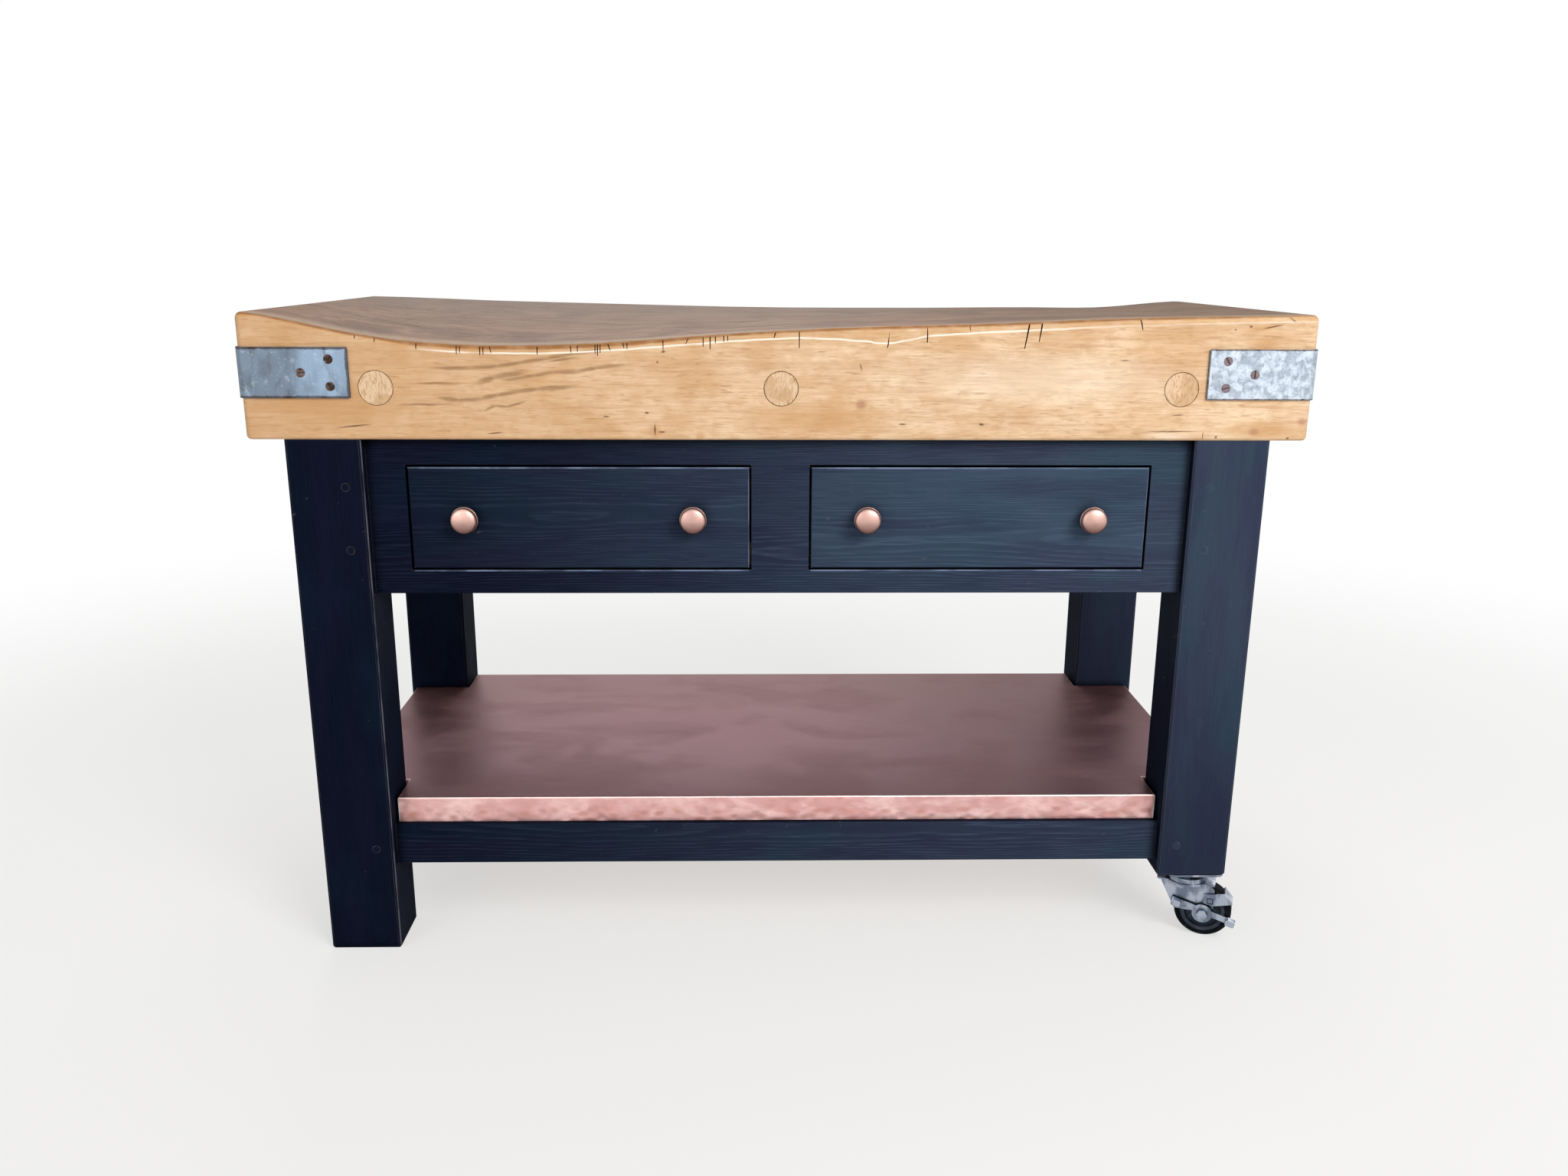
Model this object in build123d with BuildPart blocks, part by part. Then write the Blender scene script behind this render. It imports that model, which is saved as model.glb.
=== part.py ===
from build123d import *
import os
from math import atan2, cos, radians, sin

# A worn butcher's block on a pine base with two drawers, a copper shelf and two braked casters.
# Millimetres. The origin is on the floor under the middle, +X to the right, +Y to the rear, +Z up.

# Block
block_length = 1372.0
block_depth = 612.0
block_thickness = 160.0
block_corner_radius = 9.0
block_top_edge_radius = 8.0
block_bottom_edge_radius = 5.0
stave_count = 8
glue_line = 0.2

# Wear of the top: places along the half length, and the depth worn off the front and rear edges there
wear_places = [-1.06, -0.97, -0.88, -0.75, -0.55, -0.31, -0.06, 0.22, 0.46, 0.66, 0.82, 0.90, 0.965, 1.06]
front_wear = [0, 1.5, 13.5, 31, 41.5, 36.5, 23, 15, 8.5, 3, 0.8, 0.3, 0, 0]
rear_wear = [0, 0.8, 1.5, 3.8, 6.7, 10.7, 15, 16.2, 15.9, 15.4, 15, 10, 4.5, 2]
middle_dish = 4.0
wear_overrun = 30.0

# Tie rods through the block, and the plugs over their ends
rod_end_inset = 171.0
rod_height_in_block = 66.0
rod_diameter = 16.0
rod_bore_gap = 0.4
plug_diameter = 45.0
plug_length = 20.0
plug_arris = 0.6
rod_end_gap = 6.0
nut_across_flats = 24.0
nut_height = 13.0
nut_corner_radius = 1.5
washer_diameter = 40.0
washer_thickness = 3.0
washer_gap = 0.2
nut_thread_stand_out = 3.0

# Steel corner plates and their screws
plate_length = 142.0
plate_height = 64.0
plate_thickness = 3.0
plate_drop = 43.0
plate_corner_radius = 2.0
screw_head_diameter = 12.0
screw_shank_diameter = 6.0
screw_length = 40.0
screw_slot_width = 1.6
screw_slot_depth = 1.4
screw_end_inset = 24.0
screw_row_spacing = 34.0
screw_step = 36.0
screw_slot_turn = 37.0

# Base frame
base_depth = 604.0
base_height = 731.0
leg_width = 98.0
leg_depth = 90.0
leg_arris = 3.0
apron_height = 209.0
apron_thickness = 27.0
apron_setback = 16.0
rail_height = 60.0
rail_top = 185.0
rail_thickness = 27.0
rail_setback = 18.0
board_arris = 1.5
tenon_thickness = 12.0
tenon_length = 40.0
apron_tenon_shoulder = 20.0
rail_tenon_shoulder = 9.0
peg_diameter = 10.0
peg_length = 56.0
peg_inset = 24.0
peg_spacing = 84.0
peg_proud = 0.5
dowel_diameter = 20.0
dowel_length = 60.0

# Shelf board and its folded copper cover
shelf_thickness = 36.5
copper_thickness = 1.2
copper_fold_radius = 2.5
shelf_end_setback = 10.0
shelf_front_setback = 27.0
shelf_rear_setback = 23.0
shelf_leg_gap = 3.5

# Drawers
opening_width = 452.0
opening_height = 141.0
opening_sill = 32.5
centre_stile = 77.0
opening_end_stile = 50.5
drawer_gap = 2.5
drawer_rear_room = 85.0
drawer_front_thickness = 22.0
drawer_front_arris = 2.0
drawer_side_thickness = 14.0
drawer_side_drop = 8.0
drawer_back_thickness = 14.0
drawer_back_drop = 8.0
drawer_bottom_thickness = 6.0
drawer_bottom_rise = 10.0
groove_depth = 6.0
tail_count = 3
tail_length = 14.0
tail_width = 18.0
tail_flare = 3.0
runner_height = 30.0
runner_bearing = 20.0
runner_guide_width = 32.0
runner_guide_height = 30.0
runner_gap = 0.3
guide_gap = 0.6
kicker_gap = 2.0
kicker_height = 30.0
stop_length = 26.0
stop_height = 18.0

# Drawer knobs
knob_diameter = 38.0
knob_projection = 28.0
knob_base_diameter = 22.0
knob_base_thickness = 2.5
knob_neck_diameter = 15.0
knob_neck_length = 12.0
knob_rim_thickness = 2.6
knob_rim_step = 1.2
knob_end_inset = 74.0
knob_screw_diameter = 4.0
knob_screw_head_diameter = 9.0
knob_screw_head_height = 2.5
knob_screw_grip = 10.0

# Casters
wheel_diameter = 80.0
tyre_width = 28.0
tyre_thickness = 9.0
tyre_shoulder_radius = 6.0
hub_dish_depth = 6.0
hub_rim_width = 5.0
hub_boss_diameter = 24.0
wheel_side_gap = 2.0
wheel_top_gap = 1.5
running_gap = 0.05
side_play = 0.3
bush_diameter = 12.0
axle_diameter = 8.0
axle_head_across_flats = 13.0
axle_head_height = 5.0
axle_nut_height = 6.5
axle_end = 2.0
trail = 27.0
swivel_turn = -22.0
kingpin_offset = 10.0
fork_thickness = 2.5
fork_heel = 13.0
fork_back = 40.0
fork_front = 14.5
fork_eye_radius = 12.0
fork_corner_radius = 6.0
crown_radius = 30.0
race_height = 20.0
race_boss_diameter = 40.0
race_cup_diameter = 57.0
race_cup_height = 7.5
ball_diameter = 6.0
ball_circle_diameter = 30.0
ball_count = 12
kingpin_diameter = 12.0
kingpin_head_diameter = 20.0
kingpin_head_height = 3.0
top_plate_width = 78.0
top_plate_depth = 86.0
top_plate_thickness = 3.0
top_plate_corner_radius = 8.0
top_plate_screw_spacing_x = 56.0
top_plate_screw_spacing_y = 62.0
top_plate_screw_diameter = 6.0
top_plate_screw_length = 35.0
top_plate_screw_head_diameter = 12.0
top_plate_screw_head_height = 4.0

# Side brake on each caster
lever_thickness = 2.5
lever_disc_radius = 14.0
lever_boss_radius = 9.0
lever_reach = 46.0
lever_arm_height = 9.0
lever_arm_lift = 4.0
lever_pad_length = 13.0
lever_pad_depth = 8.0
lever_tilt = -14.0
shoe_thickness = 2.0
shoe_gap = 1.5
shoe_pad_thickness = 2.5
shoe_pad_length = 18.0
shoe_pad_width = 24.0
shoe_angle = 38.0
lug_size = 6.5
lug_play = 1.25
lug_forward = 9.4
lug_rise = 20.0

# Places worked out from the sizes above
block_top = base_height + block_thickness
block_front = -block_depth / 2
block_end = block_length / 2
rod_spacing = block_end - rod_end_inset
rod_z = base_height + rod_height_in_block
plate_z = block_top - plate_drop - plate_height / 2
leg_inner_x = centre_stile / 2 + opening_width + opening_end_stile
base_length = 2 * (leg_inner_x + leg_width)
leg_x = (base_length - leg_width) / 2
leg_y = (base_depth - leg_depth) / 2
leg_inner_y = base_depth / 2 - leg_depth
apron_bottom = base_height - apron_height
apron_face_y = base_depth / 2 - apron_setback
apron_back_y = apron_face_y - apron_thickness
apron_face_x = base_length / 2 - apron_setback
rail_bottom = rail_top - rail_height
rail_face_y = base_depth / 2 - rail_setback
rail_face_x = base_length / 2 - rail_setback
sill_z = apron_bottom + opening_sill
drawer_width = opening_width - 2 * drawer_gap
drawer_height = opening_height - 2 * drawer_gap
drawer_bottom_z = sill_z + drawer_gap
drawer_centre_x = (centre_stile + opening_width) / 2
drawer_face_y = -apron_face_y
drawer_rear_y = apron_back_y - drawer_rear_room
side_height = drawer_height - drawer_side_drop
axle_height = wheel_diameter / 2
crown_bottom = wheel_diameter + wheel_top_gap
crown_top = crown_bottom + fork_thickness
top_plate_z = crown_top + race_height
caster_height = top_plate_z + top_plate_thickness
fork_gap = tyre_width + 2 * wheel_side_gap
fork_width = fork_gap + 2 * fork_thickness
left, right, front, rear = -1, 1, -1, 1

os.makedirs("parts", exist_ok=True)


def save(piece, name):
    """Label a finished piece and write it to its own file."""
    piece.part.label = name
    export_step(piece.part, f"parts/{name}.step")


def slab(x_from, x_to, y_from, y_to, z_from, z_to, mode=Mode.ADD):
    """A block of wood or a cut between two corners, in the piece being made."""
    with Locations(((x_from + x_to) / 2, (y_from + y_to) / 2, (z_from + z_to) / 2)):
        Box(abs(x_to - x_from), abs(y_to - y_from), abs(z_to - z_from), mode=mode)


def round_bars(places, radius, y_from, y_to, mode=Mode.ADD):
    """Round bars or bores along Y at (x, z) places, in the piece being made."""
    with BuildSketch(Plane.XZ.offset(-y_from)) as ends:
        with Locations(*places):
            Circle(radius)
    extrude(ends.sketch, amount=y_from - y_to, mode=mode)


# Screw form with a countersunk head, point down, head face on the plane
with BuildPart() as screw_form:
    with BuildSketch(Plane.XZ):
        with BuildLine():
            Polyline(
                (0, 0),
                (screw_head_diameter / 2, 0),
                (screw_shank_diameter / 2, -plate_thickness),
                (screw_shank_diameter / 2, -screw_length + screw_shank_diameter),
                (0, -screw_length),
                close=True,
            )
        make_face()
    revolve(axis=Axis.Z)

with BuildPart() as slotted_screw:
    add(screw_form.part)
    Box(2 * screw_head_diameter, screw_slot_width, 2 * screw_slot_depth, mode=Mode.SUBTRACT)

# Screw places: two near each plate's free end and one further in, on both of its faces
screw_rows = [
    (screw_end_inset, screw_row_spacing / 2),
    (screw_end_inset, -screw_row_spacing / 2),
    (screw_end_inset + screw_step, 0.0),
]
screw_planes = []
for side_x in (left, right):
    for side_y in (front, rear):
        for inset, rise in screw_rows:
            slot_turn = radians(screw_slot_turn * (len(screw_planes) + 1))
            along_x = side_x * (block_end + plate_thickness - plate_length + inset)
            along_y = side_y * (block_depth / 2 + plate_thickness - plate_length + inset)
            long_face = (along_x, side_y * (block_depth / 2 + plate_thickness), plate_z + rise)
            end_face = (side_x * (block_end + plate_thickness), along_y, plate_z + rise)
            slot_x = (cos(slot_turn), 0, sin(slot_turn))
            slot_y = (0, cos(slot_turn), sin(slot_turn))
            screw_planes.append(Plane(long_face, x_dir=slot_x, z_dir=(0, side_y, 0)))
            screw_planes.append(Plane(end_face, x_dir=slot_y, z_dir=(side_x, 0, 0)))

with BuildPart() as screw_holes:
    with Locations(*screw_planes):
        add(screw_form.part)

with BuildPart() as corner_plate_screws:
    with Locations(*screw_planes):
        add(slotted_screw.part)
save(corner_plate_screws, "corner_plate_screws")

# Folded plates that hold the block's corners
for side_x, x_name in ((left, "left"), (right, "right")):
    for side_y, y_name in ((front, "front"), (rear, "rear")):
        with BuildPart() as corner_plate:
            with BuildSketch(Plane.XY.offset(plate_z - plate_height / 2)):
                RectangleRounded(
                    block_length + 2 * plate_thickness,
                    block_depth + 2 * plate_thickness,
                    block_corner_radius + plate_thickness,
                )
                RectangleRounded(block_length, block_depth, block_corner_radius, mode=Mode.SUBTRACT)
                plate_corner = (
                    side_x * (block_end + plate_thickness - plate_length / 2),
                    side_y * (block_depth / 2 + plate_thickness - plate_length / 2),
                )
                with Locations(plate_corner):
                    Rectangle(plate_length, plate_length, mode=Mode.INTERSECT)
            extrude(amount=plate_height)
            free_corners = corner_plate.edges().filter_by(Axis.Y).sort_by(SortBy.LENGTH)[:2]
            free_corners += corner_plate.edges().filter_by(Axis.X).sort_by(SortBy.LENGTH)[:2]
            fillet(free_corners, plate_corner_radius)
            add(screw_holes.part, mode=Mode.SUBTRACT)
        save(corner_plate, f"{y_name}_{x_name}_corner_plate")

# Tie rods, their nuts and washers, and the plugs over them
rod_places = [(-rod_spacing, rod_z), (0, rod_z), (rod_spacing, rod_z)]
rod_end = block_front + plug_length + rod_end_gap
nut_face = rod_end + nut_thread_stand_out
washer_face = nut_face + nut_height
counterbore_end = washer_face + washer_thickness

with BuildPart() as tie_rods:
    round_bars(rod_places, rod_diameter / 2, rod_end, -rod_end)
save(tie_rods, "tie_rods")

with BuildPart() as tie_rod_nuts:
    for side_y in (front, rear):
        with BuildSketch(Plane.XZ.offset(side_y * nut_face)):
            with Locations(*rod_places):
                RegularPolygon(nut_across_flats / 2, 6, major_radius=False)
                Circle(rod_diameter / 2, mode=Mode.SUBTRACT)
        extrude(amount=side_y * nut_height)
    nut_corners = tie_rod_nuts.edges().filter_by(Axis.Y)
    fillet(nut_corners.filter_by(GeomType.LINE), nut_corner_radius)
    for side_y in (front, rear):
        with BuildSketch(Plane.XZ.offset(side_y * (washer_face + washer_gap))):
            with Locations(*rod_places):
                Circle(washer_diameter / 2)
                Circle(rod_diameter / 2 + rod_bore_gap, mode=Mode.SUBTRACT)
        extrude(amount=side_y * (washer_thickness - washer_gap))
save(tie_rod_nuts, "tie_rod_nuts")

with BuildPart() as tie_rod_plugs:
    for side_y in (front, rear):
        round_bars(rod_places, plug_diameter / 2, -side_y * block_front, -side_y * (block_front + plug_length))
    plug_rims = tie_rod_plugs.edges().filter_by(GeomType.CIRCLE).group_by(Axis.Y)
    chamfer(plug_rims[0] + plug_rims[-1], plug_arris)
save(tie_rod_plugs, "tie_rod_plugs")

# Dowels that locate the block on the leg tops
with BuildPart() as locating_dowels:
    with Locations((0, 0, base_height)):
        with GridLocations(2 * leg_x, 2 * leg_y, 2, 2):
            Cylinder(dowel_diameter / 2, dowel_length)
save(locating_dowels, "locating_dowels")

# The worn-away top, lofted from the front edge through the middle to the rear edge
middle_wear = [
    (front_depth + rear_depth) / 2 + middle_dish * max(0, 1 - place**2)
    for place, front_depth, rear_depth in zip(wear_places, front_wear, rear_wear)
]
with BuildPart() as worn_away:
    wear_reach = block_depth / 2 + wear_overrun
    for section_y, depths in ((-wear_reach, front_wear), (0, middle_wear), (wear_reach, rear_wear)):
        with BuildSketch(Plane.XZ.offset(-section_y)):
            with BuildLine():
                worn = Spline(*[(p * block_end, block_top - d) for p, d in zip(wear_places, depths)])
                above = block_top + 2 * block_top_edge_radius
                Polyline(worn @ 0, ((worn @ 0).X, above), ((worn @ 1).X, above), worn @ 1)
            make_face()
    loft()

# The whole block, worn, rounded and drilled, before it is divided into staves
with BuildPart() as block_form:
    with BuildSketch(Plane.XY.offset(base_height)):
        RectangleRounded(block_length, block_depth, block_corner_radius)
    extrude(amount=block_thickness + block_top_edge_radius)
    add(worn_away.part, mode=Mode.SUBTRACT)
    fillet(block_form.faces().sort_by(Axis.Z)[-1].edges(), block_top_edge_radius)
    fillet(block_form.faces().sort_by(Axis.Z)[0].edges(), block_bottom_edge_radius)
    round_bars(rod_places, rod_diameter / 2 + rod_bore_gap, rod_end, -rod_end, mode=Mode.SUBTRACT)
    for side_y in (front, rear):
        bore_from = -side_y * block_front
        round_bars(rod_places, plug_diameter / 2, bore_from, -side_y * counterbore_end, mode=Mode.SUBTRACT)
    add(screw_holes.part, mode=Mode.SUBTRACT)
    add(locating_dowels.part, mode=Mode.SUBTRACT)

# Staves, divided by thin glue lines
stave_pitch = (block_depth + glue_line) / stave_count
stave_width = stave_pitch - glue_line
stave_blank = (block_length, stave_width, 2 * block_thickness)

with BuildPart() as front_stave:
    with Locations((0, block_front + stave_width / 2, base_height)):
        Box(*stave_blank, align=(Align.CENTER, Align.CENTER, Align.MIN))
    add(block_form.part, mode=Mode.INTERSECT)
save(front_stave, "front_stave")

with BuildPart() as inner_staves:
    with Locations((0, 0, base_height)):
        with GridLocations(0, stave_pitch, 1, stave_count - 2):
            Box(*stave_blank, align=(Align.CENTER, Align.CENTER, Align.MIN))
    add(block_form.part, mode=Mode.INTERSECT)
save(inner_staves, "inner_staves")

with BuildPart() as rear_stave:
    with Locations((0, -block_front - stave_width / 2, base_height)):
        Box(*stave_blank, align=(Align.CENTER, Align.CENTER, Align.MIN))
    add(block_form.part, mode=Mode.INTERSECT)
save(rear_stave, "rear_stave")

# Draw-bore pegs, from the long sides and from the ends
apron_middle = apron_bottom + apron_height / 2
rail_middle = rail_bottom + rail_height / 2
peg_heights = [apron_middle + peg_spacing / 2, apron_middle - peg_spacing / 2, rail_middle]
long_peg_x = leg_inner_x + peg_inset
end_peg_y = leg_inner_y + peg_inset

with BuildPart() as tenon_pegs:
    for side_y in (front, rear):
        long_places = [(side_x * long_peg_x, height) for side_x in (left, right) for height in peg_heights]
        peg_face = side_y * (base_depth / 2 + peg_proud)
        round_bars(long_places, peg_diameter / 2, peg_face, peg_face - side_y * peg_length)
    for side_x in (left, right):
        with BuildSketch(Plane.YZ.offset(side_x * (base_length / 2 + peg_proud))):
            with Locations(*[(side_y * end_peg_y, z) for side_y in (front, rear) for z in peg_heights]):
                Circle(peg_diameter / 2)
        extrude(amount=-side_x * peg_length)
save(tenon_pegs, "tenon_pegs")


def long_board(face_y, thickness, z_from, z_to, shoulder):
    """A board between the legs of one long side, tenoned at both ends, in the piece being made."""
    inner_y = face_y - thickness if face_y > 0 else face_y + thickness
    tenon_y = (face_y + inner_y) / 2
    slab(-leg_inner_x, leg_inner_x, face_y, inner_y, z_from, z_to)
    tenon_end = leg_inner_x + tenon_length
    tenon_from, tenon_to = tenon_y - tenon_thickness / 2, tenon_y + tenon_thickness / 2
    slab(-tenon_end, tenon_end, tenon_from, tenon_to, z_from + shoulder, z_to - shoulder)


def end_board(face_x, thickness, z_from, z_to, shoulder):
    """A board between the legs of one end, tenoned at both ends, in the piece being made."""
    inner_x = face_x - thickness if face_x > 0 else face_x + thickness
    tenon_x = (face_x + inner_x) / 2
    slab(face_x, inner_x, -leg_inner_y, leg_inner_y, z_from, z_to)
    tenon_end = leg_inner_y + tenon_length
    tenon_from, tenon_to = tenon_x - tenon_thickness / 2, tenon_x + tenon_thickness / 2
    slab(tenon_from, tenon_to, -tenon_end, tenon_end, z_from + shoulder, z_to - shoulder)


def ease_board(board, facing, along):
    """Round the edges of a board's outer face, apart from the two that meet the legs."""
    outer_face = board.faces().sort_by(Axis((0, 0, 0), facing))[-1]
    fillet(outer_face.edges().sort_by(along)[1:-1], board_arris)


# Aprons under the block
with BuildPart() as front_apron:
    long_board(-apron_face_y, apron_thickness, apron_bottom, base_height, apron_tenon_shoulder)
    for side_x in (left, right):
        opening_from = side_x * centre_stile / 2
        opening_to = side_x * (centre_stile / 2 + opening_width)
        through_from, through_to = -base_depth / 2, -apron_back_y + apron_setback
        opening_top = sill_z + opening_height
        slab(opening_from, opening_to, through_from, through_to, sill_z, opening_top, mode=Mode.SUBTRACT)
    ease_board(front_apron, (0, front, 0), Axis.X)
    add(tenon_pegs.part, mode=Mode.SUBTRACT)
save(front_apron, "front_apron")

with BuildPart() as rear_apron:
    long_board(apron_face_y, apron_thickness, apron_bottom, base_height, apron_tenon_shoulder)
    ease_board(rear_apron, (0, rear, 0), Axis.X)
    add(tenon_pegs.part, mode=Mode.SUBTRACT)
save(rear_apron, "rear_apron")

end_aprons = {}
for side_x, x_name in ((left, "left"), (right, "right")):
    with BuildPart() as end_apron:
        end_board(side_x * apron_face_x, apron_thickness, apron_bottom, base_height, apron_tenon_shoulder)
        ease_board(end_apron, (side_x, 0, 0), Axis.Y)
        add(tenon_pegs.part, mode=Mode.SUBTRACT)
    save(end_apron, f"{x_name}_apron")
    end_aprons[x_name] = end_apron

# Lower rails that carry the shelf
lower_rails = []
for side_y, y_name in ((front, "front"), (rear, "rear")):
    with BuildPart() as long_rail:
        long_board(side_y * rail_face_y, rail_thickness, rail_bottom, rail_top, rail_tenon_shoulder)
        ease_board(long_rail, (0, side_y, 0), Axis.X)
        add(tenon_pegs.part, mode=Mode.SUBTRACT)
    save(long_rail, f"{y_name}_lower_rail")
    lower_rails.append(long_rail)

for side_x, x_name in ((left, "left"), (right, "right")):
    with BuildPart() as end_rail:
        end_board(side_x * rail_face_x, rail_thickness, rail_bottom, rail_top, rail_tenon_shoulder)
        ease_board(end_rail, (side_x, 0, 0), Axis.Y)
        add(tenon_pegs.part, mode=Mode.SUBTRACT)
    save(end_rail, f"{x_name}_lower_rail")
    lower_rails.append(end_rail)

# Caster top plates with their race bosses, and the screws that hold them to the right legs
kingpin_x = leg_x + kingpin_offset
race_boss_z = crown_top + ball_diameter + 2 * running_gap
caster_spots = [(kingpin_x, -leg_y), (kingpin_x, leg_y)]

with BuildPart() as caster_plate_screws:
    with BuildSketch(Plane.XY.offset(top_plate_z)):
        with Locations(*caster_spots):
            with GridLocations(top_plate_screw_spacing_x, top_plate_screw_spacing_y, 2, 2):
                RegularPolygon(top_plate_screw_head_diameter / 2, 6)
    extrude(amount=-top_plate_screw_head_height)
    with BuildSketch(Plane.XY.offset(top_plate_z)):
        with Locations(*caster_spots):
            with GridLocations(top_plate_screw_spacing_x, top_plate_screw_spacing_y, 2, 2):
                Circle(top_plate_screw_diameter / 2)
    extrude(amount=top_plate_screw_length)
save(caster_plate_screws, "caster_plate_screws")

with BuildPart() as swivel_kingpins:
    with BuildSketch(Plane.XY.offset(caster_height)):
        with Locations(*caster_spots):
            Circle(kingpin_diameter / 2)
    extrude(amount=crown_bottom - side_play - caster_height)
    with BuildSketch(Plane.XY.offset(crown_bottom - side_play)):
        with Locations(*caster_spots):
            Circle(kingpin_head_diameter / 2)
    extrude(amount=-kingpin_head_height)
    fillet(swivel_kingpins.edges().group_by(Axis.Z)[0], kingpin_head_height / 2)
save(swivel_kingpins, "swivel_kingpins")

with BuildPart() as caster_plates:
    with BuildSketch(Plane.XY.offset(top_plate_z)):
        with Locations(*caster_spots):
            RectangleRounded(top_plate_width, top_plate_depth, top_plate_corner_radius)
    extrude(amount=top_plate_thickness)
    with BuildSketch(Plane.XY.offset(top_plate_z)):
        with Locations(*caster_spots):
            Circle(race_boss_diameter / 2)
    extrude(amount=race_boss_z - top_plate_z)
    add(swivel_kingpins.part, mode=Mode.SUBTRACT)
    add(caster_plate_screws.part, mode=Mode.SUBTRACT)
save(caster_plates, "caster_plates")

with BuildPart() as swivel_balls:
    ball_z = crown_top + running_gap + ball_diameter / 2
    with Locations(*[(x, y, ball_z) for x, y in caster_spots]):
        with PolarLocations(ball_circle_diameter / 2, ball_count):
            Sphere(ball_diameter / 2)
save(swivel_balls, "swivel_balls")

# Legs, mortised for the boards, pegs and dowels; the right pair is cut short for the casters
for side_x, x_name in ((left, "left"), (right, "right")):
    for side_y, y_name in ((front, "front"), (rear, "rear")):
        with BuildPart() as leg:
            leg_foot = 0 if side_x == left else caster_height
            with Locations((side_x * leg_x, side_y * leg_y, leg_foot)):
                Box(leg_width, leg_depth, base_height - leg_foot, align=(Align.CENTER, Align.CENTER, Align.MIN))
            chamfer(leg.edges().filter_by(Axis.Z) + leg.edges().group_by(Axis.Z)[0], leg_arris)
            for tenoned in (front_apron, rear_apron, end_aprons[x_name], *lower_rails):
                add(tenoned.part, mode=Mode.SUBTRACT)
            for driven in (tenon_pegs, locating_dowels, caster_plate_screws):
                add(driven.part, mode=Mode.SUBTRACT)
        save(leg, f"{y_name}_{x_name}_leg")

# Shelf board, notched round the legs, and the copper folded over its top and edges
shelf_end_x = base_length / 2 - shelf_end_setback
shelf_front_y = -base_depth / 2 + shelf_front_setback
shelf_rear_y = base_depth / 2 - shelf_rear_setback
shelf_top = rail_top + shelf_thickness


def shelf_outline(inset):
    """The notched shelf outline, drawn in by an inset, in the sketch being made."""
    notch_x = leg_inner_x - shelf_leg_gap - inset
    notch_y = leg_inner_y - shelf_leg_gap - inset
    long_middle = (shelf_front_y + shelf_rear_y) / 2
    with Locations((0, long_middle)):
        Rectangle(2 * notch_x, shelf_rear_y - shelf_front_y - 2 * inset)
    Rectangle(2 * (shelf_end_x - inset), 2 * notch_y)


with BuildPart() as shelf_board:
    with BuildSketch(Plane.XY.offset(rail_top)):
        shelf_outline(copper_thickness)
    extrude(amount=shelf_thickness - copper_thickness)
save(shelf_board, "shelf_board")

with BuildPart() as copper_cover:
    with BuildSketch(Plane.XY.offset(rail_top)):
        shelf_outline(0)
    extrude(amount=shelf_thickness)
    fillet(copper_cover.faces().sort_by(Axis.Z)[-1].edges(), copper_fold_radius)
    add(shelf_board.part, mode=Mode.SUBTRACT)
save(copper_cover, "copper_cover")

# Runners under the drawer sides with guides beside them, kickers above them, and stops behind
runner_top = drawer_bottom_z - runner_gap
inner_guide_x = centre_stile / 2 + drawer_gap - guide_gap
outer_guide_x = centre_stile / 2 + opening_width - drawer_gap + guide_gap
inner_bearing_x = inner_guide_x + runner_bearing
outer_bearing_x = outer_guide_x - runner_bearing
outer_runner_x = outer_guide_x + runner_guide_width

with BuildPart() as drawer_runners:
    runner_from, runner_to = runner_top - runner_height, runner_top + runner_guide_height
    slab(-inner_bearing_x, inner_bearing_x, -apron_back_y, apron_back_y, runner_from, runner_top)
    slab(-inner_guide_x, inner_guide_x, -apron_back_y, apron_back_y, runner_from, runner_to)
    for side_x in (left, right):
        outer_edge = side_x * outer_runner_x
        slab(side_x * outer_bearing_x, outer_edge, -apron_back_y, apron_back_y, runner_from, runner_top)
        slab(side_x * outer_guide_x, outer_edge, -apron_back_y, apron_back_y, runner_from, runner_to)
save(drawer_runners, "drawer_runners")

with BuildPart() as kickers:
    kicker_from = drawer_bottom_z + side_height + kicker_gap
    kicker_to = kicker_from + kicker_height
    slab(-inner_bearing_x, inner_bearing_x, -apron_back_y, apron_back_y, kicker_from, kicker_to)
    for side_x in (left, right):
        kicker_edge = side_x * outer_runner_x
        slab(side_x * outer_bearing_x, kicker_edge, -apron_back_y, apron_back_y, kicker_from, kicker_to)
save(kickers, "kickers")

with BuildPart() as drawer_stops:
    stop_from = drawer_rear_y + runner_gap
    for side_x in (left, right):
        for near_x, far_x in ((inner_guide_x, inner_bearing_x), (outer_bearing_x, outer_guide_x)):
            stop_to = stop_from + stop_length
            stop_top = runner_top + stop_height
            slab(side_x * near_x, side_x * far_x, stop_from, stop_to, runner_top, stop_top)
save(drawer_stops, "drawer_stops")

# Knob form, standing on the plane and bored for the screw that holds it from inside the drawer
knob_rim_base = knob_base_thickness + knob_neck_length
knob_rim_top = knob_rim_base + knob_rim_thickness
dome_radius = knob_diameter / 2 - knob_rim_step
dome_height = knob_projection - knob_rim_top
dome_sphere = (dome_radius**2 + dome_height**2) / (2 * dome_height)
dome_half_angle = atan2(dome_radius, dome_sphere - dome_height) / 2
dome_centre = knob_projection - dome_sphere
dome_middle = (dome_sphere * sin(dome_half_angle), dome_centre + dome_sphere * cos(dome_half_angle))

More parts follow.
